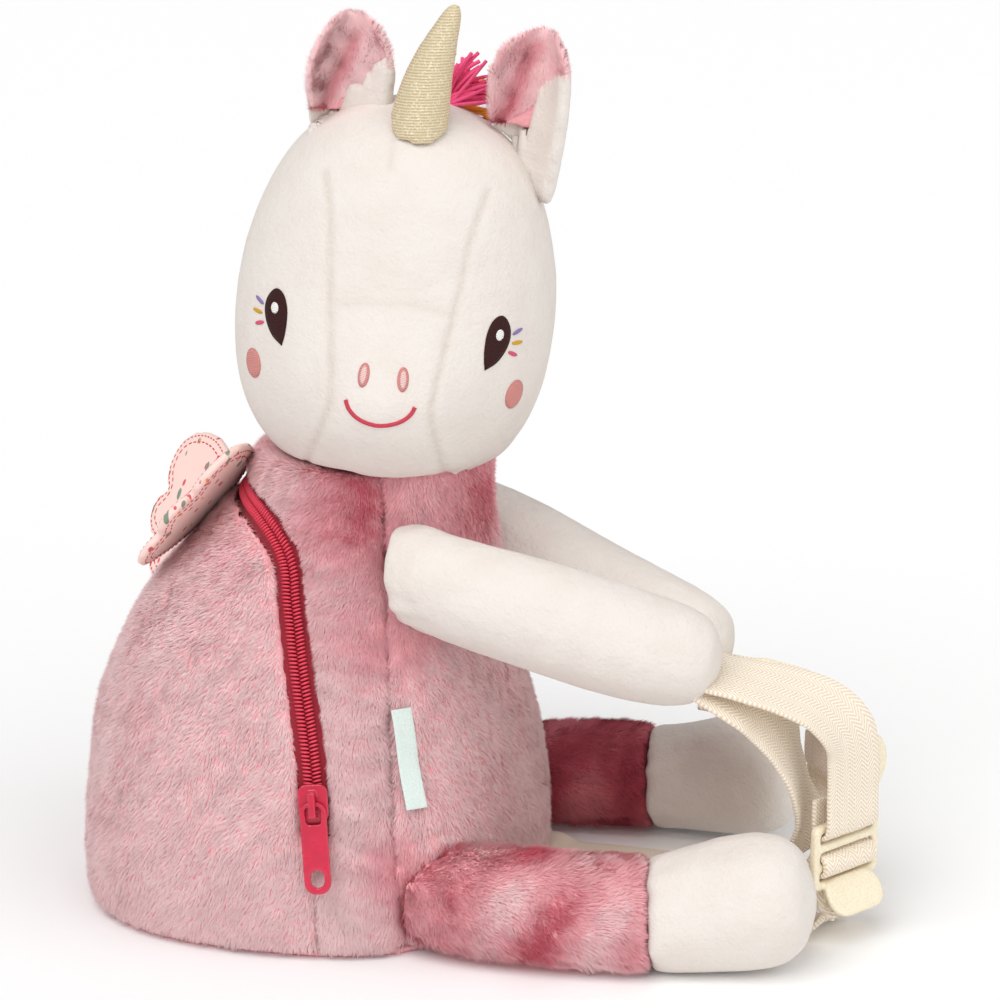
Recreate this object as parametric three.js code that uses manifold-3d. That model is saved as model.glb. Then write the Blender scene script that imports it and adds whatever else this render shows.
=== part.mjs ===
// Hug backpack for a small child: a seated plush unicorn whose paws hold webbing shoulder straps.
// Millimetres, +Z up. The origin is the middle of the bag's underside, on the floor. The belly faces -Y
// and the animal's left side is +X. Its head is turned to its right.

import * as THREE from "three";
import { mergeVertices } from "three/addons/utils/BufferGeometryUtils.js";
import Module from "manifold-3d";

const wasm = await Module();
wasm.setup();

// Sizes of the bag
const BODY_WIDTH = 162;
const BODY_DEPTH = 158;
const BODY_HEIGHT = 160;
const PLUSH_WALL = 3;
const BASE_THICKNESS = 3;
const CLEARANCE = 0.3;

// Sizes of the zip
const TAPE_WIDTH = 10;
const TAPE_THICKNESS = 1;
const TAPE_DEPTH = 1.8; // the tape's face lies this far below the pile
const COIL_WIDTH = 6.5;
const COIL_THICKNESS = 2.2;
const SLIDER_LENGTH = 13;
const SLIDER_WIDTH = 10;
const SLIDER_PLATE = 2;
const BRIDGE_WIDTH = 2.4;
const BRIDGE_LENGTH = 8.6;
const BRIDGE_BAR = 1.4;
const PULL_WIDTH = 9;
const PULL_LENGTH = 31;
const PULL_THICKNESS = 1.6;
const PULL_WINDOW = 5.2;
const PULL_HOLE = 4.6;

// Sizes of the label
const LABEL_WIDTH = 11;
const LABEL_HEIGHT = 36;
const LABEL_THICKNESS = 0.8;

// Sizes of the head
const HEAD_WIDTH = 110;
const HEAD_HEIGHT = 136;
const HEAD_DEPTH = 108;
const MUZZLE_LENGTH = 12;
const HEAD_TURN = -76; // degrees, from facing -Y towards the animal's right
const HEAD_ROLL = 6.5; // degrees, towards the animal's left
const HEAD_SEAT = 13.5; // the chin lies this far below the top of the neck
const HORN_LENGTH = 47;
const HORN_WIDTH = 20;
const EAR_LENGTH = 52;
const EAR_WIDTH = 28;
const EAR_CUP = 13;
const EAR_LAYER = 3;
const TUFT_LENGTH = 23;
const LOCK_WIDTH = 7;

// Sizes of the limbs
const ARM_REACH = 152; // from the origin forward to the right paw's end
const ARM_WIDTH = 38;
const PAW_HEIGHT = 101;
const LEG_REACH = 188; // from the origin forward to the right foot's end
const THIGH_WIDTH = 40;
const FOOT_WIDTH = 48;

// Sizes of the wings
const WING_SPAN = 46;
const WING_HEIGHT = 58;
const WING_THICKNESS = 3;

// Sizes of the straps and their hardware
const WEBBING_WIDTH = 25;
const WEBBING_THICKNESS = 1.8;
const FOOT_GAP = 3; // the straps hang this far in front of the right foot's end, and in front of
const PAW_GAP = 39; // the right paw's end by this length
const BUCKLE_HEIGHT = 32; // the middle of the right ladder lock above the floor
const BUCKLE_THICKNESS = 3;
const BUCKLE_BAR = 2.8;
const SLOT_HEIGHT = 4;
const SLOT_MARGIN = 0.8;
const THUMB_LENGTH = 14;
const THUMB_LIFT = 38; // degrees
const LOCK_FACING = 33; // degrees, each lock turned away from straight forward
const DISC_DIAMETER = 25;
const DISC_THICKNESS = 3.2;

// Colours
const ROSE = 0xd58d9c;
const DEEP_ROSE = 0xb85a70;
const CREAM = 0xf4efe9;
const RASPBERRY = 0xb8203c;
const GOLD = 0xc9b88a;
const WEBBING = 0xe6d6bd;
const CREAM_PLASTIC = 0xe9dfc2;
const PALE_MINT = 0xe8f1ea;
const PRINT_PINK = 0xf3c3bf;
const HOT_PINK = 0xe02a72;
const ORANGE = 0xf08a24;
const LILAC = 0xd9d6ee;

const UP = new THREE.Vector3(0, 0, 1);

// Rows of a table between its lines, with a smooth course through them. The first column is the key.
function rowAt(rows, key) {
  const found = rows.findIndex((row) => row[0] >= key);
  const upper = found < 0 ? rows.length - 1 : Math.max(found, 1);
  const lower = upper - 1;
  const span = rows[upper][0] - rows[lower][0];
  const t = THREE.MathUtils.clamp((key - rows[lower][0]) / span, 0, 1);
  const slope = (index, column) => {
    const before = rows[Math.max(index - 1, 0)];
    const after = rows[Math.min(index + 1, rows.length - 1)];
    return ((after[column] - before[column]) / (after[0] - before[0])) * span;
  };
  return rows[lower].map((value, column) => {
    const next = rows[upper][column];
    const a = 2 * value - 2 * next + slope(lower, column) + slope(upper, column);
    const b = 3 * (next - value) - 2 * slope(lower, column) - slope(upper, column);
    return ((a * t + b) * t + slope(lower, column)) * t + value;
  });
}

// Closed skin over rings of the same number of points. The two end rings are capped round their middles
// or, where a ring is a thin bent strip whose second half runs back along the first, from side to side.
function loft(rings, thin = false) {
  const sides = rings[0].length;
  const points = rings.flat();
  const index = [];
  for (let row = 0; row + 1 < rings.length; row++) {
    for (let side = 0; side < sides; side++) {
      const a = row * sides + side;
      const b = row * sides + ((side + 1) % sides);
      index.push(a, b, b + sides, a, b + sides, a + sides);
    }
  }
  const last = (rings.length - 1) * sides;
  for (let side = 0; thin && side + 1 < sides / 2; side++) {
    const [a, b, c, d] = [side, side + 1, sides - 2 - side, sides - 1 - side];
    index.push(a, c, b, a, d, c, last + a, last + b, last + c, last + a, last + c, last + d);
  }
  if (!thin) {
    for (const ring of [rings[0], rings[rings.length - 1]]) {
      points.push(ring.reduce((sum, p) => sum.add(p), new THREE.Vector3()).divideScalar(sides));
    }
    for (let side = 0; side < sides; side++) {
      const next = (side + 1) % sides;
      index.push(points.length - 2, next, side, points.length - 1, last + side, last + next);
    }
  }
  let volume = 0;
  for (let i = 0; i < index.length; i += 3) {
    const [a, b, c] = index.slice(i, i + 3).map((corner) => points[corner]);
    volume += new THREE.Vector3().crossVectors(a, b).dot(c);
  }
  const geometry = new THREE.BufferGeometry().setFromPoints(points);
  geometry.setIndex(volume < 0 ? index.reverse() : index);
  return geometry;
}

function toSolid(geometry) {
  const bare = geometry.clone();
  bare.deleteAttribute("normal");
  bare.deleteAttribute("uv");
  const merged = mergeVertices(bare, 1e-4);
  const vertProperties = new Float32Array(merged.attributes.position.array);
  const triVerts = new Uint32Array(merged.index.array);
  return new wasm.Manifold(new wasm.Mesh({ numProp: 3, vertProperties, triVerts }));
}

function toGeometry(solid) {
  const mesh = solid.getMesh();
  const geometry = new THREE.BufferGeometry();
  geometry.setAttribute("position", new THREE.BufferAttribute(mesh.vertProperties, 3));
  geometry.setIndex(new THREE.BufferAttribute(mesh.triVerts, 1));
  geometry.computeVertexNormals();
  return geometry;
}

// A strip with the given cross-section, swept through frames of a point, an across and an out direction.
function ribbon(frames, profile) {
  const ring = ({ point, across, out }) =>
    profile.map(([a, n]) => point.clone().addScaledVector(across, a).addScaledVector(out, n));
  return loft(frames.map(ring));
}

function strip(width, low, high) {
  const half = width / 2;
  return [[-half, low], [half, low], [half, high], [-half, high]];
}

// A signed power, which turns a circle into a rounded square.
function squared(value, power) {
  return Math.sign(value) * Math.abs(value) ** (2 / power);
}

// Body of the bag: columns are height (share of BODY_HEIGHT), width and depth (shares of BODY_WIDTH and
// BODY_DEPTH), middle (share of BODY_DEPTH, forward is negative) and squareness of the section.
const BODY_ROWS = [
  [0.0, 0.95, 0.945, 0.0, 2.6],
  [0.03, 0.985, 0.975, 0.0, 2.6],
  [0.1, 1.0, 0.995, 0.002, 2.6],
  [0.18, 1.0, 1.0, 0.0, 2.6],
  [0.31, 0.97, 0.955, 0.0, 2.5],
  [0.455, 0.915, 0.9, 0.006, 2.4],
  [0.64, 0.8, 0.795, -0.012, 2.3],
  [0.74, 0.71, 0.715, -0.04, 2.2],
  [0.8, 0.645, 0.65, -0.07, 2.1],
  [0.87, 0.575, 0.585, -0.096, 2.0],
  [0.925, 0.53, 0.535, -0.12, 2.0],
  [1.0, 0.5, 0.505, -0.142, 2.0],
];
const BODY_LEVELS = 14;
const BODY_SIDES = 32;

function bodyPoint(height, angle) {
  const [, width, depth, middle, power] = rowAt(BODY_ROWS, height);
  return new THREE.Vector3(
    (BODY_WIDTH / 2) * width * squared(Math.cos(angle), power),
    BODY_DEPTH * middle + (BODY_DEPTH / 2) * depth * squared(Math.sin(angle), power),
    BODY_HEIGHT * height,
  );
}

function bodyNormal(height, angle) {
  const step = 0.01;
  const round = bodyPoint(height, angle + step).sub(bodyPoint(height, angle - step));
  const rise = bodyPoint(height + step, angle).sub(bodyPoint(height - step, angle));
  return round.cross(rise).normalize();
}

// The angle on the body's right side where its surface reaches a given Y at a given height share.
function bodyAngle(height, y) {
  const [, , depth, middle, power] = rowAt(BODY_ROWS, height);
  const share = THREE.MathUtils.clamp((y - BODY_DEPTH * middle) / ((BODY_DEPTH / 2) * depth), -1, 1);
  return Math.PI - Math.asin(squared(share, 4 / power));
}

function bodyForm(grow, from, to, levels = BODY_LEVELS) {
  const rings = [];
  for (let level = 0; level <= levels; level++) {
    const height = THREE.MathUtils.lerp(from, to, (level / levels) ** 1.4);
    const ring = [];
    for (let side = 0; side < BODY_SIDES; side++) {
      const angle = (side / BODY_SIDES) * 2 * Math.PI;
      const normal = bodyNormal(height, angle).setZ(0);
      ring.push(bodyPoint(height, angle).addScaledVector(normal.normalize(), grow));
    }
    rings.push(ring);
  }
  return loft(rings);
}

// A block through the whole body from side to side, with the given outline of [y, z] corners.
function acrossBlock(outline) {
  const shape = new THREE.Shape(outline.map(([y, z]) => new THREE.Vector2(y, z)));
  const block = new THREE.ExtrudeGeometry(shape, { depth: 2 * BODY_WIDTH, bevelEnabled: false });
  block.translate(0, 0, -BODY_WIDTH);
  const turn = new THREE.Matrix4().makeBasis(new THREE.Vector3(0, 1, 0), UP, new THREE.Vector3(1, 0, 0));
  return toSolid(block.applyMatrix4(turn));
}

// Route of the zip on the body: columns are height (share of BODY_HEIGHT) and turn from the back's
// middle in degrees. It starts at the side's lower end and ends at the top, and the far side mirrors it.
const ZIP_ROWS = [
  [0.26, 103],
  [0.35, 104],
  [0.455, 104],
  [0.58, 101],
  [0.7, 96],
  [0.8, 87],
  [0.86, 74],
  [0.9, 54],
  [0.92, 28],
  [0.925, 0],
];
const ZIP_STEPS = 36;
const SEAM_FOOT = -0.05;

function mirroredRoute(rows) {
  const near = rows.map(([height, turn]) => new THREE.Vector2(turn, height));
  const far = near.slice(0, -1).reverse().map((p) => new THREE.Vector2(-p.x, p.y));
  return new THREE.SplineCurve([...near, ...far]);
}

function surfaceFrames(route, steps) {
  const at = (t) => {
    const { x: turn, y: height } = route.getPoint(THREE.MathUtils.clamp(t, 0, 1));
    return [height, THREE.MathUtils.degToRad(90 + turn)];
  };
  const frames = [];
  for (let step = 0; step <= steps; step++) {
    const t = step / steps;
    const point = bodyPoint(...at(t));
    const out = bodyNormal(...at(t));
    const along = bodyPoint(...at(t + 0.004)).sub(bodyPoint(...at(t - 0.004)));
    const across = new THREE.Vector3().crossVectors(along, out).normalize();
    frames.push({ point, across, out });
  }
  return frames;
}

const zipRoute = mirroredRoute(ZIP_ROWS);
const zipFrames = surfaceFrames(zipRoute, ZIP_STEPS);

// Everything behind the zip, moved back by a shift: the side view of the right half of the zip, closed
// far behind and below the body.
function behindZip(shift) {
  const half = zipFrames.slice(0, ZIP_STEPS / 2 + 1).map(({ point }) => [point.y + shift, point.z]);
  const top = zipFrames[ZIP_STEPS / 2];
  const far = BODY_DEPTH;
  const low = SEAM_FOOT * BODY_HEIGHT;
  return acrossBlock([
    [half[0][0], low],
    ...half,
    [top.point.y + shift + far * top.out.y, top.point.z + far * top.out.z],
    [2 * far, low],
  ]);
}

// The side seam leans: columns are height share and place (share of BODY_DEPTH).
const SEAM_LOW = -0.335;
const SEAM_HIGH = -0.225;

function seamPlace(height) {
  return BODY_DEPTH * THREE.MathUtils.lerp(SEAM_LOW, SEAM_HIGH, height);
}

function beforeSeam(shift) {
  const low = SEAM_FOOT;
  const high = 1 - SEAM_FOOT;
  return acrossBlock([
    [seamPlace(low) + shift, low * BODY_HEIGHT],
    [seamPlace(high) + shift, high * BODY_HEIGHT],
    [-2 * BODY_DEPTH, high * BODY_HEIGHT],
    [-2 * BODY_DEPTH, low * BODY_HEIGHT],
  ]);
}

const shellFoot = (BASE_THICKNESS + CLEARANCE) / BODY_HEIGHT;
const shell = toSolid(bodyForm(0, shellFoot, 1)).subtract(
  toSolid(bodyForm(-PLUSH_WALL, SEAM_FOOT, 1 - (1.5 * PLUSH_WALL) / BODY_HEIGHT, BODY_LEVELS / 2)),
);
const grownBody = toSolid(bodyForm(1.5 * CLEARANCE, 0, 1 + CLEARANCE / BODY_HEIGHT));
const slotProfile = strip(TAPE_WIDTH + 2 * CLEARANCE, -3 * PLUSH_WALL, 3 * PLUSH_WALL);
const zipSlot = toSolid(ribbon(zipFrames, slotProfile));
const front = shell.subtract(behindZip(-CLEARANCE / 2));

const basePanel = bodyForm(0, 0, BASE_THICKNESS / BODY_HEIGHT, 2);
const bellyPanel = front.intersect(beforeSeam(-CLEARANCE / 2));
const sideGusset = front.subtract(beforeSeam(CLEARANCE / 2)).subtract(zipSlot);
const backPanel = shell.intersect(behindZip(CLEARANCE / 2)).subtract(zipSlot);

// The zip's tape and coil, a little shorter than the slot.
const stringer = zipFrames.slice(1, -1);
const coilLow = -TAPE_DEPTH + CLEARANCE;
const zipTape = ribbon(stringer, strip(TAPE_WIDTH, -TAPE_DEPTH - TAPE_THICKNESS, -TAPE_DEPTH));
const zipCoil = ribbon(stringer.slice(1, -1), strip(COIL_WIDTH, coilLow, coilLow + COIL_THICKNESS));

// Flat plate with an outline of its own, lying in local XY with its underside at local Z 0.
function plate(outline, holes, thickness, curveSegments = 8) {
  const shape = new THREE.Shape(outline);
  shape.holes = holes.map((hole) => new THREE.Path(hole));
  return new THREE.ExtrudeGeometry(shape, { depth: thickness, bevelEnabled: false, curveSegments });
}

function roundedOutline(width, length, radius, segments = 5) {
  const points = [];
  const corners = [[1, 1, 0], [-1, 1, 1], [-1, -1, 2], [1, -1, 3]];
  for (const [right, top, quarter] of corners) {
    for (let step = 0; step <= segments; step++) {
      const angle = ((quarter + step / segments) * Math.PI) / 2;
      points.push(new THREE.Vector2(
        right * (width / 2 - radius) + radius * Math.cos(angle),
        top * (length / 2 - radius) + radius * Math.sin(angle),
      ));
    }
  }
  return points;
}

// The slider's group: local X is across the zip, local Y points up along it and local Z points out.
const SLIDER_STEP = 2; // the frame of the zip where the slider stands
const sliderFrame = zipFrames[SLIDER_STEP];
const sliderGroup = new THREE.Group();
sliderGroup.matrixAutoUpdate = false;
sliderGroup.matrix
  .makeBasis(
    sliderFrame.across,
    new THREE.Vector3().crossVectors(sliderFrame.out, sliderFrame.across),
    sliderFrame.out,
  )
  .setPosition(sliderFrame.point);

const sliderFloor = coilLow + COIL_THICKNESS + CLEARANCE;
const bridgeFloor = sliderFloor + SLIDER_PLATE;
const pullAxis = bridgeFloor + PULL_THICKNESS / 2 + 2 * CLEARANCE;
const bridgeTop = pullAxis + PULL_THICKNESS / 2 + 2 * CLEARANCE + BRIDGE_BAR;

function makeSlider() {
  const base = plate(roundedOutline(SLIDER_WIDTH, SLIDER_LENGTH, SLIDER_WIDTH * 0.3), [], SLIDER_PLATE);
  base.translate(0, 0, sliderFloor);
  const bar = new THREE.BoxGeometry(BRIDGE_WIDTH, BRIDGE_LENGTH, BRIDGE_BAR);
  bar.translate(0, 0, bridgeTop - BRIDGE_BAR / 2);
  const postHeight = bridgeTop - bridgeFloor + SLIDER_PLATE / 2;
  const postAt = (end) => {
    const post = new THREE.BoxGeometry(BRIDGE_WIDTH, BRIDGE_BAR, postHeight);
    return toSolid(post.translate(0, (end * (BRIDGE_LENGTH - BRIDGE_BAR)) / 2, bridgeTop - postHeight / 2));
  };
  return toGeometry(toSolid(base).add(toSolid(bar)).add(postAt(1)).add(postAt(-1)));
}

// The pull hangs from its cross bar at the window's top; local Z 0 is its middle and the bar's middle is
// at the origin.
function makePull() {
  const bar = PULL_THICKNESS / 2;
  const windowLength = BRIDGE_LENGTH / 2 + 2 * bar;
  const outline = roundedOutline(PULL_WIDTH, PULL_LENGTH, PULL_WIDTH * 0.42);
  const middle = bar - PULL_LENGTH / 2;
  outline.forEach((p) => p.setY(p.y + middle));
  const window = roundedOutline(PULL_WINDOW, windowLength, PULL_WINDOW * 0.2, 2);
  window.forEach((p) => p.setY(p.y - bar - windowLength / 2));
  const hole = roundedOutline(PULL_HOLE, PULL_HOLE * 1.3, PULL_HOLE * 0.49);
  hole.forEach((p) => p.setY(p.y + bar - PULL_LENGTH + PULL_WIDTH / 2 + PULL_HOLE * 0.15));
  const pull = plate(outline, [window, hole], PULL_THICKNESS);
  return pull.translate(0, 0, -bar);
}

// The label lies on the pile just in front of the right side seam.
const LABEL_MIDDLE = 0.43; // share of BODY_HEIGHT
const labelSteps = 8;
const labelFrames = [];
for (let step = 0; step <= labelSteps; step++) {
  const height = LABEL_MIDDLE + ((step / labelSteps - 0.5) * LABEL_HEIGHT) / BODY_HEIGHT;
  const angle = bodyAngle(height, seamPlace(height) - LABEL_WIDTH / 2 - CLEARANCE);
  const out = bodyNormal(height, angle);
  const across = new THREE.Vector3().crossVectors(UP, out).normalize();
  labelFrames.push({ point: bodyPoint(height, angle), across, out });
}
const sideLabel = ribbon(labelFrames, strip(LABEL_WIDTH, 2 * CLEARANCE, 2 * CLEARANCE + LABEL_THICKNESS));

// Head, in its own frame: the chin's lowest point is at the origin, the face looks to -Y and the
// animal's left is +X. Columns are height (share of HEAD_HEIGHT), width (share of HEAD_WIDTH), front and
// back (shares of half HEAD_DEPTH).
const HEAD_ROWS = [
  [0.0, 0.1, 0.1, 0.1],
  [0.02, 0.33, 0.36, 0.3],
  [0.05, 0.53, 0.56, 0.44],
  [0.1, 0.71, 0.74, 0.58],
  [0.16, 0.83, 0.87, 0.69],
  [0.23, 0.92, 0.95, 0.79],
  [0.3, 0.97, 1.0, 0.87],
  [0.4, 1.0, 1.0, 0.95],
  [0.51, 1.0, 0.96, 1.0],
  [0.61, 0.97, 0.91, 1.0],
  [0.715, 0.9, 0.85, 0.96],
  [0.8, 0.815, 0.77, 0.87],
  [0.87, 0.71, 0.66, 0.75],
  [0.92, 0.59, 0.55, 0.61],
  [0.96, 0.43, 0.41, 0.45],
  [0.985, 0.28, 0.27, 0.29],
  [1.0, 0.1, 0.1, 0.1],
];
const HEAD_LEVELS = 16;
const HEAD_SIDES = 24;
const MUZZLE_MIDDLE = 0.27;
const MUZZLE_SPREAD = 0.17;

function headPoint(height, angle, grow) {
  const [, width, frontDepth, backDepth] = rowAt(HEAD_ROWS, height);
  const x = ((HEAD_WIDTH / 2) * width + grow) * squared(Math.cos(angle), 2.15);
  const sine = squared(Math.sin(angle), 2.15);
  const depth = (HEAD_DEPTH / 2) * (sine < 0 ? frontDepth : backDepth) + grow;
  const rise = Math.exp(-(((height - MUZZLE_MIDDLE) / MUZZLE_SPREAD) ** 2));
  const side = Math.exp(-((x / (HEAD_WIDTH * 0.27)) ** 2));
  const muzzle = sine < 0 ? MUZZLE_LENGTH * rise * side * sine ** 2 : 0;
  return new THREE.Vector3(x, depth * sine - muzzle, HEAD_HEIGHT * height);
}

function headForm(grow) {
  const rings = [];
  for (let level = 0; level <= HEAD_LEVELS; level++) {
    const height = (1 - Math.cos((level / HEAD_LEVELS) * Math.PI)) / 2;
    const ring = [];
    for (let side = 0; side < HEAD_SIDES; side++) {
      ring.push(headPoint(height, (side / HEAD_SIDES) * 2 * Math.PI, grow));
    }
    rings.push(ring);
  }
  return loft(rings);
}

const [, , , neckMiddle] = rowAt(BODY_ROWS, 1);
const HEAD_FORWARD = 0.003; // share of BODY_DEPTH between the neck's middle and the head's
const headMatrix = new THREE.Matrix4()
  .makeRotationZ(THREE.MathUtils.degToRad(HEAD_TURN))
  .multiply(new THREE.Matrix4().makeRotationY(THREE.MathUtils.degToRad(HEAD_ROLL)))
  .setPosition(0, BODY_DEPTH * (neckMiddle - HEAD_FORWARD), BODY_HEIGHT - HEAD_SEAT);
const head = toSolid(headForm(0).applyMatrix4(headMatrix)).subtract(grownBody);
const grownHead = toSolid(headForm(CLEARANCE * 1.3).applyMatrix4(headMatrix));

// A stuffed limb round a route. Columns of the rows are place along it and width (share of the limb's
// width). Its sections are round and never reach below the floor.
const LIMB_MESH = { steps: 11, sides: 12, from: 0, to: 1, floor: -Infinity };

function limb(route, width, rows, options = {}) {
  const { steps, sides, from, to, floor } = { ...LIMB_MESH, ...options };
  const rings = [];
  for (let step = 0; step <= steps; step++) {
    const eased = (1 - Math.cos((step / steps) * Math.PI)) / 2;
    const t = THREE.MathUtils.lerp(from, to, THREE.MathUtils.lerp(step / steps, eased, 0.6));
    const point = route.getPointAt(t);
    const along = route.getTangentAt(t);
    const across = new THREE.Vector3().crossVectors(along, UP).normalize();
    const out = new THREE.Vector3().crossVectors(across, along).normalize();
    const [, share] = rowAt(rows, t);
    const radius = (width / 2) * Math.max(share, 0.02);
    const ring = [];
    for (let side = 0; side < sides; side++) {
      const angle = (side / sides) * 2 * Math.PI;
      const edge = point.clone();
      edge.addScaledVector(across, radius * Math.cos(angle));
      edge.addScaledVector(out, radius * Math.sin(angle));
      edge.z = Math.max(edge.z, floor);
      ring.push(edge);
    }
    rings.push(ring);
  }
  return loft(rings);
}

// A route from a root to an end. Columns of the bends are along, aside and rise, as shares of the
// straight distance; aside is away from the body's middle.
function bentRoute(root, end, side, bends) {
  const length = root.distanceTo(end);
  const points = bends.map(([along, aside, rise]) => {
    const bend = new THREE.Vector3(side * aside, 0, rise).multiplyScalar(length);
    return bend.add(new THREE.Vector3().lerpVectors(root, end, along));
  });
  return new THREE.CatmullRomCurve3([root, ...points, end]);
}

// Arms
const ARM_ROWS = [
  [0.0, 0.8],
  [0.15, 0.9],
  [0.3, 0.95],
  [0.6, 1.02],
  [0.8, 1.0],
  [0.9, 0.92],
  [0.95, 0.8],
  [0.98, 0.6],
  [1.0, 0.25],
];
const armRoot = (side, height, forward) =>
  new THREE.Vector3(side * BODY_WIDTH * 0.2, -BODY_DEPTH * forward, BODY_HEIGHT * height);
const PAW_ASIDE = 0.19; // share of BODY_WIDTH
const rightPaw = new THREE.Vector3(-PAW_ASIDE * BODY_WIDTH, -ARM_REACH, PAW_HEIGHT);
const leftPaw = new THREE.Vector3(PAW_ASIDE * 0.75 * BODY_WIDTH, -ARM_REACH * 0.945, PAW_HEIGHT * 0.86);
const rightArmRoute = bentRoute(armRoot(-1, 0.82, 0.2), rightPaw, -1, [
  [0.2, 0.1, 0.01],
  [0.5, 0.12, 0.02],
  [0.78, 0.06, 0.0],
]);
const leftArmRoute = bentRoute(armRoot(1, 0.82, 0.19), leftPaw, 1, [
  [0.25, 0.1, -0.02],
  [0.55, 0.12, -0.06],
  [0.8, 0.06, -0.04],
]);

// Legs
const LEG_ROWS = [
  [0.0, 0.8],
  [0.2, 0.96],
  [0.4, 1.0],
  [0.6, 1.0],
  [0.72, 1.08],
  [0.84, 1.18],
  [0.92, 1.12],
  [0.965, 0.9],
  [0.99, 0.55],
  [1.0, 0.2],
];
const FOOT_LIFT = 0.55;
const legRoot = (side, aside) =>
  new THREE.Vector3(side * BODY_WIDTH * aside, -BODY_DEPTH * 0.26, THIGH_WIDTH * 0.47);
const rightToe = new THREE.Vector3(-0.27 * BODY_WIDTH, -LEG_REACH, FOOT_WIDTH * FOOT_LIFT);
const leftToe = new THREE.Vector3(0.43 * BODY_WIDTH, -LEG_REACH * 0.87, FOOT_WIDTH * FOOT_LIFT * 1.08);
const rightLegRoute = bentRoute(legRoot(-1, 0.33), rightToe, -1, [
  [0.3, 0.05, -0.015],
  [0.65, 0.03, -0.035],
  [0.85, 0.0, -0.01],
]);
const leftLegRoute = bentRoute(legRoot(1, 0.38), leftToe, 1, [
  [0.3, 0.06, -0.02],
  [0.65, 0.05, -0.03],
  [0.85, 0.02, -0.01],
]);
// Places of the seams between thigh and foot
const RIGHT_LEG_SEAM = 0.62;
const LEFT_LEG_SEAM = 0.54;

// Horn, in the head's frame
const hornRoute = new THREE.CatmullRomCurve3([
  new THREE.Vector3(HEAD_WIDTH * 0.01, -HEAD_DEPTH * 0.2, HEAD_HEIGHT * 0.9),
  new THREE.Vector3(HEAD_WIDTH * 0.03, -HEAD_DEPTH * 0.2, HEAD_HEIGHT * 0.9 + HORN_LENGTH * 0.5),
  new THREE.Vector3(HEAD_WIDTH * 0.09, -HEAD_DEPTH * 0.2, HEAD_HEIGHT * 0.9 + HORN_LENGTH * 1.04),
]);
const HORN_ROWS = [
  [0.0, 1.04],
  [0.3, 0.94],
  [0.6, 0.7],
  [0.85, 0.42],
  [0.95, 0.3],
  [1.0, 0.1],
];
const hornForm = limb(hornRoute, HORN_WIDTH, HORN_ROWS, { steps: 10, sides: 12 });
const horn = toSolid(hornForm.applyMatrix4(headMatrix)).subtract(grownHead);

// Ears: a cupped leaf in two layers. Columns are place along the ear and width (share of EAR_WIDTH).
const EAR_ROWS = [
  [0.0, 0.5],
  [0.2, 0.66],
  [0.45, 0.95],
  [0.62, 1.0],
  [0.8, 0.84],
  [0.92, 0.55],
  [1.0, 0.16],
];
const EAR_STEPS = 8;
const EAR_ACROSS = 6;

// Ear layer in its own frame: +Z runs to the tip and the cup opens to -Y. The layer lies between two
// depths behind the cup's face, from a place along the ear to its tip less a margin.
function earLayer(near, far, from, margin) {
  const rings = [];
  for (let step = 0; step <= EAR_STEPS; step++) {
    const t = THREE.MathUtils.lerp(from, 1 - margin / EAR_LENGTH, step / EAR_STEPS);
    const [, share] = rowAt(EAR_ROWS, t);
    const half = (EAR_WIDTH / 2) * share - margin;
    const cup = EAR_CUP * share * Math.sqrt(t);
    const place = (u, depth) => new THREE.Vector3(half * u, depth - cup * u * u, EAR_LENGTH * t);
    const ring = [];
    for (let side = 0; side <= EAR_ACROSS; side++) {
      ring.push(place((2 * side) / EAR_ACROSS - 1, near));
    }
    for (let side = EAR_ACROSS; side >= 0; side--) {
      ring.push(place((2 * side) / EAR_ACROSS - 1, far));
    }
    rings.push(ring);
  }
  return loft(rings, true);
}

// Places of the ears in the head's frame: columns are aside and back (shares of HEAD_WIDTH and
// HEAD_DEPTH), height (share of HEAD_HEIGHT), lean aside, lean back and turn, in degrees.
const EAR_PLACES = {
  right: [-0.219, -0.036, 0.81, 0, 2, 8],
  left: [0.333, -0.036, 0.82, 4, 2, -18],
};
const LINING_START = 0.36;

function earMatrix([aside, back, height, lean, tilt, turn]) {
  const radians = THREE.MathUtils.degToRad;
  const foot = [HEAD_WIDTH * aside, HEAD_DEPTH * back, HEAD_HEIGHT * height];
  return headMatrix.clone()
    .multiply(new THREE.Matrix4().makeTranslation(...foot))
    .multiply(new THREE.Matrix4().makeRotationY(radians(lean)))
    .multiply(new THREE.Matrix4().makeRotationX(-radians(tilt)))
    .multiply(new THREE.Matrix4().makeRotationZ(radians(turn)));
}

function ear(place) {
  const matrix = earMatrix(place);
  const outer = earLayer(EAR_LAYER + CLEARANCE, 2 * EAR_LAYER + CLEARANCE, 0, 0);
  const lining = earLayer(0, EAR_LAYER, LINING_START, CLEARANCE);
  return [outer, lining].map((layer) => toSolid(layer.applyMatrix4(matrix)).subtract(grownHead));
}

const [earRightOuter, earRightLining] = ear(EAR_PLACES.right);
const [earLeftOuter, earLeftLining] = ear(EAR_PLACES.left);

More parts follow.
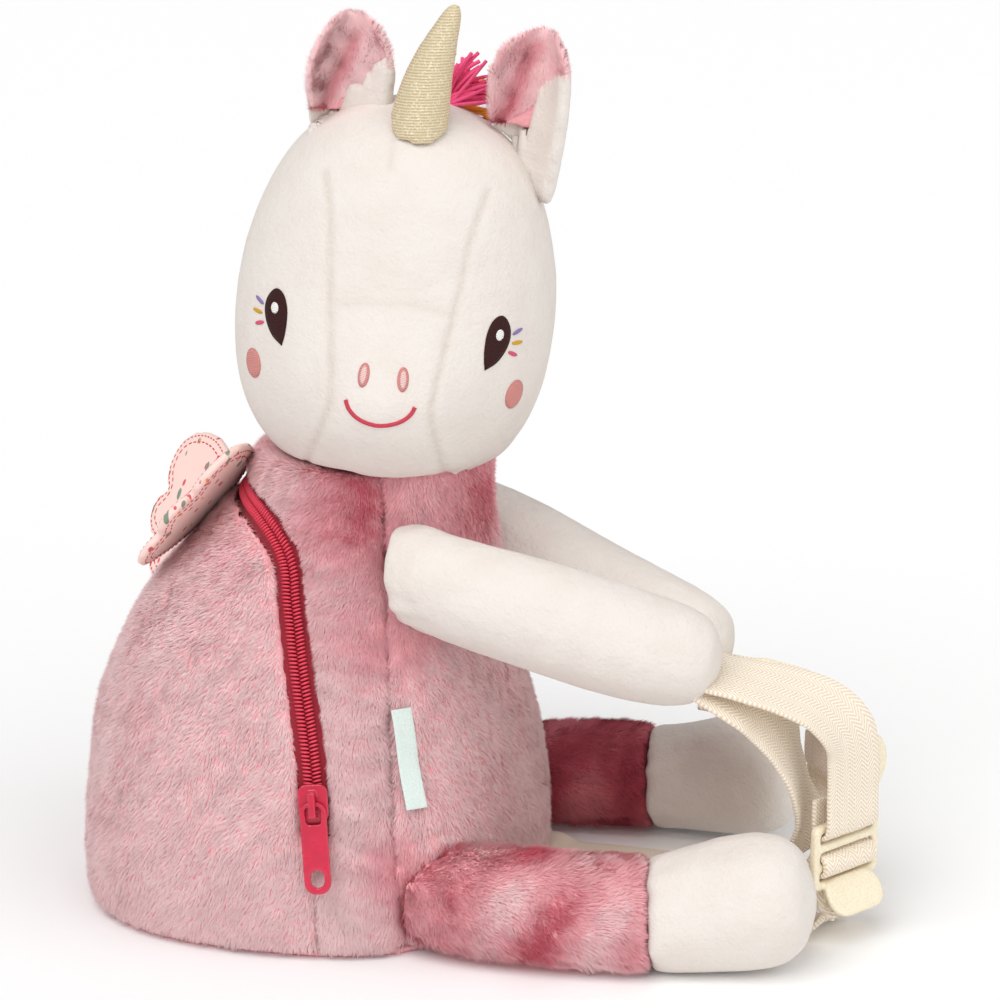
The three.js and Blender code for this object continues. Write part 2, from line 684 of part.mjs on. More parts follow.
// Mane: tufts of yarn behind the horn and down the back of the head, in the head's frame. Columns are
// back and height (shares of HEAD_DEPTH and HEAD_HEIGHT), the leans of the tuft aside and back in
// degrees, its length (share of TUFT_LENGTH) and its colour.
const TUFTS = [
  ["mane_tuft_pink_top", 0.03, 0.985, 28, 12, 1.0, HOT_PINK],
  ["mane_tuft_orange", 0.13, 0.965, 44, 34, 0.85, ORANGE],
  ["mane_tuft_lilac", 0.29, 0.91, 30, 62, 0.9, LILAC],
  ["mane_tuft_pink_low", 0.42, 0.76, 10, 94, 0.95, HOT_PINK],
];
const TUFT_LOCKS = 6;
const TUFT_SPREAD = 84; // degrees
const LOCK_ROWS = [
  [0.0, 0.7],
  [0.35, 1.0],
  [0.75, 0.9],
  [1.0, 0.3],
];

function tuft([, back, height, aside, lean, length]) {
  const root = new THREE.Vector3(HEAD_WIDTH * 0.07, HEAD_DEPTH * back, HEAD_HEIGHT * height);
  const reach = TUFT_LENGTH * length;
  let solid = null;
  for (let lock = 0; lock < TUFT_LOCKS; lock++) {
    const spread = THREE.MathUtils.degToRad(aside + (lock / (TUFT_LOCKS - 1) - 0.5) * TUFT_SPREAD);
    const fore = THREE.MathUtils.degToRad(lean + (lock % 2 ? 17 : -13));
    const way = new THREE.Vector3(
      Math.sin(spread),
      Math.cos(spread) * Math.sin(fore),
      Math.cos(spread) * Math.cos(fore),
    );
    const start = root.clone().addScaledVector(way, -LOCK_WIDTH * 0.4);
    const bend = root.clone().addScaledVector(way, reach * 0.55);
    const end = root.clone().addScaledVector(way, reach * 0.95);
    end.z -= reach * 0.12;
    const route = new THREE.CatmullRomCurve3([start, bend, end]);
    const strand = toSolid(limb(route, LOCK_WIDTH, LOCK_ROWS, { steps: 3, sides: 5 }));
    solid = solid ? solid.add(strand) : strand;
  }
  const turned = toGeometry(solid).applyMatrix4(headMatrix);
  return toSolid(turned).subtract(grownHead);
}

// Wings: thin quilted leaves with three feather lobes each, sewn to the back by their inner edge. The
// outline is in shares of WING_SPAN (outward) and WING_HEIGHT (up).
function wingOutline() {
  const shape = new THREE.Shape();
  shape.moveTo(0, 0.12);
  shape.bezierCurveTo(0.12, 0.36, 0.42, 0.5, 0.74, 0.46);
  shape.bezierCurveTo(1.0, 0.42, 1.02, 0.16, 0.84, 0.08);
  shape.bezierCurveTo(1.08, 0.06, 1.1, -0.18, 0.8, -0.24);
  shape.bezierCurveTo(0.92, -0.4, 0.7, -0.56, 0.48, -0.48);
  shape.bezierCurveTo(0.24, -0.4, 0.06, -0.28, 0, -0.12);
  return shape.getPoints(5).slice(0, -1);
}

// Columns are the root's height (share of BODY_HEIGHT), aside (share of BODY_WIDTH), lift off the back
// and turn in the wing's plane, in degrees.
const WING_PLACES = {
  right: [0.86, -0.012, 6, 8],
  left: [0.84, 0.012, 40, -40],
};

function wing(side, [height, aside, lift, turn]) {
  const middle = Math.PI / 2;
  const out = bodyNormal(height, middle);
  const rise = new THREE.Vector3(1, 0, 0).cross(out).normalize();
  const lifted = THREE.MathUtils.degToRad(lift);
  const span = new THREE.Vector3(side * Math.cos(lifted), 0, 0).addScaledVector(out, Math.sin(lifted));
  const turned = THREE.MathUtils.degToRad(turn);
  const outward = span.clone().multiplyScalar(Math.cos(turned)).addScaledVector(rise, Math.sin(turned));
  const upward = rise.clone().multiplyScalar(Math.cos(turned)).addScaledVector(span, -Math.sin(turned));
  const face = new THREE.Vector3().crossVectors(outward, upward);
  const root = bodyPoint(height, middle).addScaledVector(out, CLEARANCE);
  root.x += aside * BODY_WIDTH;
  const points = wingOutline().map((p) => new THREE.Vector2(p.x * WING_SPAN, p.y * WING_HEIGHT));
  const leaf = new THREE.ExtrudeGeometry(new THREE.Shape(points), {
    depth: WING_THICKNESS * 0.4,
    bevelThickness: WING_THICKNESS * 0.3,
    bevelSize: WING_THICKNESS * 0.3,
    bevelSegments: 1,
  });
  leaf.translate(0, 0, WING_THICKNESS * 0.3);
  const matrix = new THREE.Matrix4().makeBasis(outward, upward, face).setPosition(root);
  return toSolid(leaf.applyMatrix4(matrix)).subtract(grownBody);
}

// Webbing: a route of points and the width's directions along it give the frames of a flat band, which
// lies on the floor where the route would pass below it.
function webbing(points, widths, steps) {
  const course = new THREE.CatmullRomCurve3(points, false, "centripetal");
  const spread = new THREE.CatmullRomCurve3(widths);
  const frames = [];
  for (let step = 0; step <= steps; step++) {
    const t = step / steps;
    const along = course.getTangent(t);
    const across = spread.getPoint(t);
    across.addScaledVector(along, -across.dot(along)).normalize();
    const out = new THREE.Vector3().crossVectors(along, across);
    const point = course.getPoint(t);
    const reach = (Math.abs(across.z) * WEBBING_WIDTH + Math.abs(out.z) * WEBBING_THICKNESS) / 2;
    point.z = Math.max(point.z, reach + CLEARANCE / 2);
    frames.push({ point, across, out });
  }
  return frames;
}

function band(frames, margin = 0) {
  const half = WEBBING_THICKNESS / 2 + margin;
  return ribbon(frames, strip(WEBBING_WIDTH + 2 * margin, -half, half));
}

// Ladder lock: four bars with three slots between them, and a thumb plate that lifts outward from the
// lowest bar. Local X is across the webbing, Y points up and Z points out; the origin is its middle.
const BUCKLE_LENGTH = 4 * BUCKLE_BAR + 3 * SLOT_HEIGHT;
const BUCKLE_WIDTH = WEBBING_WIDTH + 2 * (BUCKLE_BAR + SLOT_MARGIN);
const barPlace = (bar) => (BUCKLE_LENGTH - BUCKLE_BAR) / 2 - bar * (BUCKLE_BAR + SLOT_HEIGHT);

function ladderLock() {
  const slots = [0, 1, 2].map((slot) => {
    const outline = roundedOutline(WEBBING_WIDTH + 2 * SLOT_MARGIN, SLOT_HEIGHT, SLOT_HEIGHT * 0.3, 2);
    outline.forEach((p) => p.setY(p.y + barPlace(slot + 0.5)));
    return outline;
  });
  const frame = plate(roundedOutline(BUCKLE_WIDTH, BUCKLE_LENGTH, BUCKLE_BAR), slots, BUCKLE_THICKNESS);
  const thumbOutline = roundedOutline(BUCKLE_WIDTH * 0.8, THUMB_LENGTH, THUMB_LENGTH * 0.45);
  const thumb = plate(thumbOutline, [], BUCKLE_THICKNESS * 0.7);
  thumb.translate(0, -THUMB_LENGTH / 2, 0);
  thumb.rotateX(THREE.MathUtils.degToRad(-THUMB_LIFT));
  thumb.translate(0, barPlace(3) + BUCKLE_BAR * 0.3, 0);
  frame.translate(0, 0, -BUCKLE_THICKNESS / 2);
  return toSolid(frame).add(toSolid(thumb));
}

// Round clip: a domed disc, turned about local Z. Columns are radius and height, as shares of half
// DISC_DIAMETER and half DISC_THICKNESS.
const DISC_ROWS = [
  [0.0, -1.0],
  [0.9, -1.0],
  [1.0, -0.3],
  [1.0, 0.3],
  [0.9, 0.85],
  [0.0, 1.0],
];

function roundClip() {
  const radius = DISC_DIAMETER / 2;
  const half = DISC_THICKNESS / 2;
  const profile = DISC_ROWS.map(([r, z]) => new THREE.Vector2(radius * r, half * z));
  const disc = new THREE.LatheGeometry(profile, 20);
  return toSolid(disc.rotateX(Math.PI / 2));
}

// Frames of the two ladder locks: middle and facing, in degrees aside from straight forward.
function lockFrame(aside, forward, height, facing) {
  const angle = THREE.MathUtils.degToRad(facing);
  const across = new THREE.Vector3(Math.cos(angle), Math.sin(angle), 0);
  const out = new THREE.Vector3().crossVectors(across, UP);
  const reach = Math.max(LEG_REACH + FOOT_GAP, ARM_REACH + PAW_GAP);
  const middle = new THREE.Vector3(aside * BODY_WIDTH, -forward * reach, height);
  return new THREE.Matrix4().makeBasis(across, UP, out).setPosition(middle);
}

const rightLock = lockFrame(-0.07, 1.005, BUCKLE_HEIGHT, -LOCK_FACING);
const leftLock = lockFrame(0.15, 0.945, BUCKLE_HEIGHT * 1.2, LOCK_FACING);

// Webbing folds round a bar at this distance, and two layers side by side lie this far apart.
const FOLD = Math.hypot(BUCKLE_BAR, BUCKLE_THICKNESS) / 2 + WEBBING_THICKNESS / 2 + CLEARANCE;
const LAYER = WEBBING_THICKNESS + 2 * CLEARANCE;

// Points in a lock's frame, as up and out distances, carried to the body's frame.
function lockPoints(lock, pairs) {
  return pairs.map(([up, out]) => new THREE.Vector3(0, up, out).applyMatrix4(lock));
}

// The upper webbing comes down in front of the top bar, goes round it and ends behind itself.
function upperFold(lock) {
  const bar = barPlace(0);
  return lockPoints(lock, [
    [bar + 3 * FOLD, FOLD],
    [bar, FOLD],
    [bar - FOLD * 0.72, FOLD * 0.72],
    [bar - FOLD, 0],
    [bar - FOLD * 0.72, -FOLD * 0.72],
    [bar, -FOLD],
    [bar + 3 * FOLD, -FOLD],
  ]);
}

// The lower webbing comes up behind the lowest bar, goes round the third bar and down as a second layer.
function lowerFold(lock) {
  const bar = barPlace(2);
  const behind = BUCKLE_THICKNESS / 2 + CLEARANCE + WEBBING_THICKNESS / 2;
  return lockPoints(lock, [
    [bar - 3.2 * FOLD, -behind],
    [bar - 1.65 * FOLD, -behind],
    [bar - FOLD, 0],
    [bar - FOLD * 0.66, FOLD * 0.75],
    [bar + FOLD * 0.66, FOLD * 0.75],
    [bar + FOLD, 0],
    [bar + FOLD * 0.66, -behind * 1.3],
    [bar - 0.6 * FOLD, -behind - LAYER],
    [bar - 3.2 * FOLD, -behind - LAYER],
  ]);
}

// Stations of a strap between two points: columns are aside, forward and down, as shares of the way
// from the first point to the second.
function stations(from, to, rows) {
  const way = to.clone().sub(from);
  return rows.map(([aside, forward, down]) =>
    new THREE.Vector3(from.x + way.x * aside, from.y + way.y * forward, from.z + way.z * down));
}

const lockAcross = (lock) => new THREE.Vector3().setFromMatrixColumn(lock, 0);
const direction = (x, y, z) => new THREE.Vector3(x, y, z).normalize();
const PAW_HOLD = 8; // length of webbing held in a paw

function strapUpper(paw, lock, rows, widths) {
  const fold = upperFold(lock);
  const start = paw.clone();
  start.y += PAW_HOLD;
  const points = [...stations(start, fold[0], rows), ...fold];
  return webbing(points, [...widths, ...fold.map(() => lockAcross(lock))], 32);
}

// The right paw holds two bands: the outer one goes to the ladder lock, the inner one hangs behind it.
const rightHold = rightPaw.clone().add(new THREE.Vector3(0, 0, -0.02 * PAW_HEIGHT));
const strapRightOuter = strapUpper(rightHold, rightLock, [
  [0, 0, 0],
  [0.1, 0.3, 0.07],
  [0.3, 0.56, 0.15],
  [0.58, 0.8, 0.28],
  [0.85, 0.965, 0.5],
  [0.97, 1.0, 0.76],
], [
  direction(0.97, 0, 0.24),
  direction(0.97, 0, 0.24),
  direction(0.95, -0.1, 0.28),
  direction(0.9, -0.3, 0.25),
  direction(0.85, -0.5, 0.1),
  lockAcross(rightLock),
]);

const innerStart = rightHold.clone().add(new THREE.Vector3(-0.2 * LAYER, PAW_HOLD, -1.2 * LAYER));
const innerEnd = new THREE.Vector3(0, -0.2 * BUCKLE_LENGTH, -5 * FOLD).applyMatrix4(rightLock);
const strapRightInner = webbing(stations(innerStart, innerEnd, [
  [0, 0, 0],
  [0.05, 0.35, 0.08],
  [0.2, 0.6, 0.17],
  [0.4, 0.8, 0.33],
  [0.6, 0.9, 0.52],
  [0.8, 0.95, 0.7],
  [0.95, 0.98, 0.87],
  [1, 1, 1],
]), [
  direction(0.97, 0, 0.24),
  direction(0.9, -0.1, 0.4),
  direction(0.85, -0.25, 0.42),
  direction(0.95, -0.2, 0.2),
  direction(1, 0, 0.05),
  direction(1, 0, 0),
  direction(0.95, -0.3, 0),
  lockAcross(rightLock),
], 20);

// The lower webbing leaves the lock, loops down to the floor and runs back to the bag's front edge.
function strapLower(lock, floorRows, seat, widths) {
  const fold = lowerFold(lock).reverse();
  const run = stations(fold[fold.length - 1], seat, floorRows);
  return webbing([...fold, ...run], [...fold.map(() => lockAcross(lock)), ...widths], 44);
}

const seatHeight = BASE_THICKNESS + 1.5 * CLEARANCE + WEBBING_THICKNESS / 2;
const frontEdge = (aside) => {
  const height = seatHeight / BODY_HEIGHT;
  const [, , , , power] = rowAt(BODY_ROWS, height);
  const angle = 1.5 * Math.PI + Math.asin(squared(aside, 4 / power));
  return bodyPoint(height, angle).add(new THREE.Vector3(0, PLUSH_WALL, 0));
};
const flatWidth = direction(1, 0, 0);
const strapRightLower = strapLower(rightLock, [
  [-0.1, -0.03, 0.35],
  [-0.1, 0.0, 0.8],
  [0.0, 0.08, 1.2],
  [0.12, 0.25, 1.2],
  [0.35, 0.5, 1.2],
  [0.7, 0.75, 1.2],
  [0.9, 0.86, 1.15],
  [0.97, 0.93, 1.0],
  [1, 1, 1],
], frontEdge(-0.33), [
  lockAcross(rightLock),
  direction(0.9, -0.42, 0),
  direction(0.97, -0.2, 0),
  flatWidth,
  flatWidth,
  flatWidth,
  flatWidth,
  flatWidth,
]);
const strapLeftLower = strapLower(leftLock, [
  [0.0, -0.02, 0.35],
  [0.1, 0.0, 0.8],
  [0.2, 0.1, 1.2],
  [0.6, 0.28, 1.2],
  [1.0, 0.52, 1.2],
  [1.1, 0.75, 1.2],
  [1.05, 0.86, 1.15],
  [1.0, 0.93, 1.0],
  [1, 1, 1],
], frontEdge(0.42), [
  lockAcross(leftLock),
  direction(0.9, 0.42, 0),
  direction(0.95, 0.3, 0),
  direction(0.97, 0.2, 0),
  flatWidth,
  flatWidth,
  flatWidth,
  flatWidth,
]);
const leftHold = leftPaw.clone().add(new THREE.Vector3(0, 0, -0.1 * PAW_HEIGHT));
const strapLeftUpper = strapUpper(leftHold, leftLock, [
  [0, 0, 0],
  [0.12, 0.28, 0.07],
  [0.24, 0.56, 0.14],
  [0.55, 0.83, 0.28],
  [0.85, 0.97, 0.5],
  [1.0, 1.0, 0.8],
], [
  direction(0.8, 0, 0.6),
  direction(0.8, 0, 0.6),
  direction(0.8, 0, 0.6),
  direction(0.85, 0.2, 0.45),
  direction(0.85, 0.45, 0.15),
  lockAcross(leftLock),
]);

// Each round clip lies on a face of its strap: columns are the place along the strap, the side of the
// face and the shift across (share of the disc's diameter).
function clipOn(frames, place, face, shift) {
  const { point, across, out } = frames[Math.round(place * (frames.length - 1))];
  const middle = point.clone()
    .addScaledVector(out, face * (WEBBING_THICKNESS / 2 + 2 * CLEARANCE + DISC_THICKNESS / 2))
    .addScaledVector(across, shift * DISC_DIAMETER);
  const facing = out.clone().multiplyScalar(face);
  const upward = new THREE.Vector3().crossVectors(facing, across);
  const matrix = new THREE.Matrix4().makeBasis(across, upward, facing).setPosition(middle);
  return toGeometry(roundClip()).applyMatrix4(matrix);
}

const group = new THREE.Group();

function addPart(name, geometry, color, roughness = 0.9, parent = group) {
  const material = new THREE.MeshStandardMaterial({ color, roughness, metalness: 0 });
  const mesh = new THREE.Mesh(geometry, material);
  mesh.name = name;
  parent.add(mesh);
}

const seat = (frames) => toSolid(band(frames, CLEARANCE));
// The arms are sewn into the side seams, so they end flat there.
const armPart = (route) =>
  toSolid(limb(route, ARM_WIDTH, ARM_ROWS)).intersect(beforeSeam(-PLUSH_WALL)).subtract(grownBody);
const rightArm = armPart(rightArmRoute).subtract(seat(strapRightOuter)).subtract(seat(strapRightInner));
const leftArm = armPart(leftArmRoute).subtract(seat(strapLeftUpper));
const seatedBelly = bellyPanel.subtract(seat(strapRightLower)).subtract(seat(strapLeftLower));
const legPart = (route, from, to) =>
  toSolid(limb(route, THIGH_WIDTH, LEG_ROWS, { steps: 8, from, to, floor: 0 })).subtract(grownBody);
const seamStep = CLEARANCE / LEG_REACH;

addPart("base_panel", basePanel, ROSE);
addPart("belly_panel", toGeometry(seatedBelly), ROSE);
addPart("side_gusset", toGeometry(sideGusset), ROSE);
addPart("back_panel", toGeometry(backPanel), ROSE);
addPart("zip_tape", zipTape, RASPBERRY, 0.8);
addPart("zip_chain", zipCoil, RASPBERRY, 0.5);
addPart("zip_slider", makeSlider(), RASPBERRY, 0.45, sliderGroup);
const pullGroup = new THREE.Group();
pullGroup.position.set(0, 0, pullAxis);
sliderGroup.add(pullGroup);
addPart("zip_pull", makePull(), RASPBERRY, 0.45, pullGroup);
addPart("side_label", sideLabel, PALE_MINT, 0.7);
addPart("head", toGeometry(head), CREAM);
addPart("horn", toGeometry(horn), GOLD, 0.6);
addPart("ear_right_outer", toGeometry(earRightOuter), CREAM);
addPart("ear_right_lining", toGeometry(earRightLining), ROSE);
addPart("ear_left_outer", toGeometry(earLeftOuter), CREAM);
addPart("ear_left_lining", toGeometry(earLeftLining), ROSE);
TUFTS.forEach((row) => addPart(row[0], toGeometry(tuft(row)), row[6]));
addPart("arm_right", toGeometry(rightArm), CREAM);
addPart("arm_left", toGeometry(leftArm), CREAM);
addPart("thigh_right", toGeometry(legPart(rightLegRoute, 0, RIGHT_LEG_SEAM - seamStep)), ROSE);
addPart("foot_right", toGeometry(legPart(rightLegRoute, RIGHT_LEG_SEAM + seamStep, 1)), CREAM);
addPart("thigh_left", toGeometry(legPart(leftLegRoute, 0, LEFT_LEG_SEAM - seamStep)), DEEP_ROSE);
addPart("foot_left", toGeometry(legPart(leftLegRoute, LEFT_LEG_SEAM + seamStep, 1)), CREAM);
addPart("wing_right", toGeometry(wing(-1, WING_PLACES.right)), PRINT_PINK);
addPart("wing_left", toGeometry(wing(1, WING_PLACES.left)), PRINT_PINK);
addPart("strap_right_outer", band(strapRightOuter), WEBBING);
addPart("strap_right_inner", band(strapRightInner), WEBBING);
addPart("strap_right_lower", band(strapRightLower), WEBBING);
addPart("strap_left_upper", band(strapLeftUpper), WEBBING);
addPart("strap_left_lower", band(strapLeftLower), WEBBING);
addPart("buckle_right", toGeometry(ladderLock()).applyMatrix4(rightLock), CREAM_PLASTIC, 0.4);
addPart("buckle_left", toGeometry(ladderLock()).applyMatrix4(leftLock), CREAM_PLASTIC, 0.4);
addPart("disc_right", clipOn(strapRightOuter, 0.45, -1, 0.28), CREAM_PLASTIC, 0.4);
addPart("disc_left", clipOn(strapLeftUpper, 0.125, 1, -0.05), CREAM_PLASTIC, 0.4);
group.add(sliderGroup);

export default group;
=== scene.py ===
# %% [markdown]
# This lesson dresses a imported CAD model: a small child's backpack shaped as a seated plush unicorn. The
# CAD nodes give every place and size. The cloth, the pile, the stitches and the light are made here.

# %% Load the frame
import math

import bpy
import numpy as np
from mathutils import Matrix, Vector
from mathutils.bvhtree import BVHTree


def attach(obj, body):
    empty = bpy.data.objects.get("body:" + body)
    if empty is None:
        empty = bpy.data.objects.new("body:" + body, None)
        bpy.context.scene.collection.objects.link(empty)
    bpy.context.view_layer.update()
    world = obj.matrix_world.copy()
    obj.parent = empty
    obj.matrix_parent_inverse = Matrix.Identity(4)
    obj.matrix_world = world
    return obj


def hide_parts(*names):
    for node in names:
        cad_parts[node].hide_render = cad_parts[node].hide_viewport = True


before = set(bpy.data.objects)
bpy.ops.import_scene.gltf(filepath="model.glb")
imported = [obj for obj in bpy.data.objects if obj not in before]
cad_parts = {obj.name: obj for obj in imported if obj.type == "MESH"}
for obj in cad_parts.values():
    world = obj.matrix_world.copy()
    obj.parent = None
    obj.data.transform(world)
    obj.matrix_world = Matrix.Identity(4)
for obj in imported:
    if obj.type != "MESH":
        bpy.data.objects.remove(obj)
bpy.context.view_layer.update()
MM = 0.001
print("the frame holds", len(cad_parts), "nodes")

# %% [markdown]
# The photograph looks at the animal's right side from a little above. A long lens keeps the shapes calm,
# and the light is a large soft window from the upper left with a weak one opposite. A sun lamp with a
# wide spread lights the whole floor evenly, as a white studio sweep is lit.

# %% Camera, light and floor
IMAGE_SIZE = 1000
SENSOR = 36
FOCAL_PIXELS = 3131
CAMERA_PLACE = Vector((-1.0071, -0.3371, 0.430))
CAMERA_AIM = Vector((0.0168, -0.0628, 0.139))


def turned_to(place, aim):
    return (Vector(aim) - Vector(place)).to_track_quat("-Z", "Y").to_euler()


bpy.ops.object.camera_add(location=CAMERA_PLACE, rotation=turned_to(CAMERA_PLACE, CAMERA_AIM))
camera = bpy.context.object
camera.data.sensor_width = SENSOR
camera.data.lens = SENSOR * FOCAL_PIXELS / IMAGE_SIZE
camera.data.clip_end = 50
bpy.context.scene.camera = camera

LIGHTS = [  # place it shines from, strength, spread in degrees
    ((-0.85, 0.25, 1.2), 1.8, 50),
    ((-0.55, -1.3, 0.75), 0.95, 70),
]
for place, strength, spread in LIGHTS:
    bpy.ops.object.light_add(type="SUN", location=place, rotation=turned_to(place, (0, 0, 0)))
    light = bpy.context.object.data
    light.energy = strength
    light.angle = math.radians(spread)

world = bpy.data.worlds.new("studio")
world.use_nodes = True
world.node_tree.nodes["Background"].inputs["Color"].default_value = (1.0, 1.0, 1.0, 1)
world.node_tree.nodes["Background"].inputs["Strength"].default_value = 0.42
bpy.context.scene.world = world
bpy.context.scene.view_settings.view_transform = "Standard"
print("lens", round(camera.data.lens, 1), "mm and", len(LIGHTS), "lights")

# %% [markdown]
# Colours are written as they look on a screen, from 0 to 255, and turned into the linear values that
# Blender's shaders work with.


# %% Colours
def tone(red, green, blue):
    shares = [value / 255 for value in (red, green, blue)]
    return (*[s / 12.92 if s < 0.04 else ((s + 0.055) / 1.055) ** 2.4 for s in shares], 1)


ROSE_LIGHT = tone(255, 220, 221)
ROSE = tone(246, 176, 183)
# The deep and root tones below are partly painted shade down in the pile.
ROSE_DEEP_AND_SHADE = tone(208, 92, 108)
ROSE_ROOT_SHADE = tone(230, 146, 154)
# The far thigh's colours below are a darker copy of the rose: painted shade.
SHADED_ROSE_LIGHT = tone(228, 134, 144)
SHADED_ROSE = tone(202, 92, 106)
SHADED_ROSE_DEEP = tone(154, 50, 68)
CREAM = tone(230, 223, 216)
CREAM_SHADE = tone(221, 210, 203)
SEAM_SHADE = tone(196, 180, 170)
RASPBERRY = tone(196, 40, 62)
RASPBERRY_DEEP = tone(140, 18, 38)
print("a rose of", [round(value, 3) for value in ROSE[:3]])

# %% [markdown]
# Shader maths reads best as plain arithmetic. A Signal stands for a value that changes over the surface,
# and adding or multiplying it adds Blender's Math nodes. A Finish is one material with its nodes.


# %% Signals and finishes
class Signal:
    def __init__(self, finish, socket):
        self.finish = finish
        self.socket = socket

    def maths(self, operation, *terms):
        made = self.finish.node("ShaderNodeMath", {"operation": operation}, dict(enumerate(terms)))
        return Signal(self.finish, made.outputs[0])

    def __add__(self, other):
        return self.maths("ADD", self, other)

    def __sub__(self, other):
        return self.maths("SUBTRACT", self, other)

    def __rsub__(self, other):
        return self.maths("SUBTRACT", other, self)

    def __mul__(self, other):
        return self.maths("MULTIPLY", self, other)

    def __truediv__(self, other):
        return self.maths("DIVIDE", self, other)

    __radd__ = __add__
    __rmul__ = __mul__

    def sine(self):
        return self.maths("SINE", self)

    def size(self):
        return self.maths("ABSOLUTE", self)

    def fold(self, width):
        return self.maths("PINGPONG", self, width)

    def step(self, low, high):
        sockets = {"Value": self, "From Min": low, "From Max": high}
        made = self.finish.node("ShaderNodeMapRange", {"interpolation_type": "SMOOTHSTEP"}, sockets)
        return Signal(self.finish, made.outputs[0])


class Finish:
    def __init__(self, name, color, roughness, **constants):
        self.material = bpy.data.materials.new(name)
        self.material.use_nodes = True
        self.tree = self.material.node_tree
        self.shader = self.tree.nodes["Principled BSDF"]
        self.set("Base Color", color)
        self.set("Roughness", roughness)
        for words, value in constants.items():
            self.set(words.replace("_", " "), value)

    def set(self, socket, value):
        self.feed(self.shader.inputs[socket], value)

    def feed(self, socket, value):
        source = getattr(value, "socket", value)
        if isinstance(source, bpy.types.NodeSocket):
            self.tree.links.new(source, socket)
        else:
            socket.default_value = source

    def node(self, kind, settings=None, sockets=None):
        made = self.tree.nodes.new(kind)
        for setting, value in (settings or {}).items():
            setattr(made, setting, value)
        for socket, value in (sockets or {}).items():
            self.feed(made.inputs[socket], value)
        return made

    def places(self):
        return self.node("ShaderNodeTexCoord").outputs["Object"]

    def noise(self, size, detail=2.0, vector=None):
        sockets = {"Vector": vector or self.places(), "Scale": 1 / size, "Detail": detail}
        return Signal(self, self.node("ShaderNodeTexNoise", {}, sockets).outputs[0])

    def attribute(self, name):
        return Signal(self, self.node("ShaderNodeAttribute", {"attribute_name": name}).outputs["Fac"])

    def flat_places(self):
        split = self.node("ShaderNodeSeparateXYZ", {}, {0: self.node("ShaderNodeUVMap").outputs[0]})
        return Signal(self, split.outputs[0]), Signal(self, split.outputs[1])

    def mix(self, share, first, second):
        made = self.node("ShaderNodeMix", {"data_type": "RGBA"}, {0: share, 6: first, 7: second})
        return made.outputs[2]

    def bump(self, height, depth):
        sockets = {"Height": height, "Distance": depth, "Strength": 1.0}
        self.set("Normal", self.node("ShaderNodeBump", {}, sockets).outputs[0])


print("signals and finishes are ready")

# %% [markdown]
# Plush is a knitted ground with fibres standing on it. The fibres get their colour from two values kept
# on each of them: how far along the fibre a point is, and the shade of its patch. Towards the root the
# fibres and the ground below are painted darker: painted shade down in the pile. The patches differ in
# tone at random, which gives plush its clouded look, and some of them also carry painted shade.


# %% Plush and velour
def fibre_finish(name, deep, middle, light):
    finish = Finish(name, middle, 0.9, Specular_IOR_Level=0.15)
    along = finish.attribute("along")
    shade = finish.attribute("shade")
    tip = finish.mix(shade.step(0.45, 1.0), middle, light)
    body = finish.mix(shade.step(0.0, 0.5), deep, tip)
    # Towards its root each fibre turns to the deep colour: painted shade down in the pile.
    finish.set("Base Color", finish.mix(along.step(-0.9, 0.3), deep, body))
    return finish


def ground_finish(name, deep, middle):
    finish = Finish(name, middle, 0.95, Specular_IOR_Level=0.1)
    speck = finish.noise(0.9 * MM, 3)
    # The ground is darker than the fibres, in fine random specks: painted shade down between the fibres.
    finish.set("Base Color", finish.mix(speck.step(-0.4, 0.6), deep, middle))
    finish.bump(speck, 0.5 * MM)
    return finish


def velour_finish(name, light, shade):
    """The colour turns a little darker where the mesh has a value named seam: painted shade in the seams'
    grooves.
    """
    finish = Finish(name, light, 0.9, Specular_IOR_Level=0.2)
    cloud = finish.noise(14 * MM, 2)
    nap = finish.noise(1.1 * MM, 3)
    cloth = finish.mix(cloud.step(0.35, 0.75) * 0.35 + nap * 0.12, light, shade)
    finish.set("Base Color", finish.mix(finish.attribute("seam") * 0.4, cloth, SEAM_SHADE))
    finish.bump(nap * 0.6 + finish.noise(3.5 * MM, 2) * 0.9, 0.5 * MM)
    return finish


rose_pile = fibre_finish("rose_pile", ROSE_DEEP_AND_SHADE, ROSE, ROSE_LIGHT)
shaded_rose_pile = fibre_finish("shaded_rose_pile", SHADED_ROSE_DEEP, SHADED_ROSE, SHADED_ROSE_LIGHT)
rose_ground = ground_finish("rose_ground", ROSE_ROOT_SHADE, ROSE)
shaded_rose_ground = ground_finish("shaded_rose_ground", SHADED_ROSE_DEEP, SHADED_ROSE)
cream_velour = velour_finish("cream_velour", CREAM, CREAM_SHADE)
print("plush and velour are mixed")

# %% [markdown]
# The horn is a fine knit with a gold thread: level ribs with a glint here and there. The straps are
# cotton webbing in a herringbone weave, which follows the strap, so it reads the strap's own flat
# places in millimetres. The zip's tape is a dense weave, and its hard parts are nylon and enamel.


# %% Knit, webbing and tape
def knit_finish():
    finish = Finish("gold_knit", tone(196, 178, 130), 0.5, Metallic=0.12)
    split = finish.node("ShaderNodeSeparateXYZ", {}, {0: finish.places()})
    height = Signal(finish, split.outputs[2])
    wobble = finish.noise(5 * MM, 1) * 0.8
    rib = (height * (2 * math.pi / (0.95 * MM)) + wobble).sine() * 0.5 + 0.5
    glint = finish.noise(0.7 * MM, 2).step(0.52, 0.66)
    dull = finish.mix(rib, tone(196, 177, 140), tone(226, 210, 176))
    finish.set("Base Color", finish.mix(glint * 0.6, dull, tone(250, 240, 212)))
    finish.set("Roughness", 0.62 - glint * 0.3)
    finish.bump(rib + glint * 0.3, 0.16 * MM)
    return finish


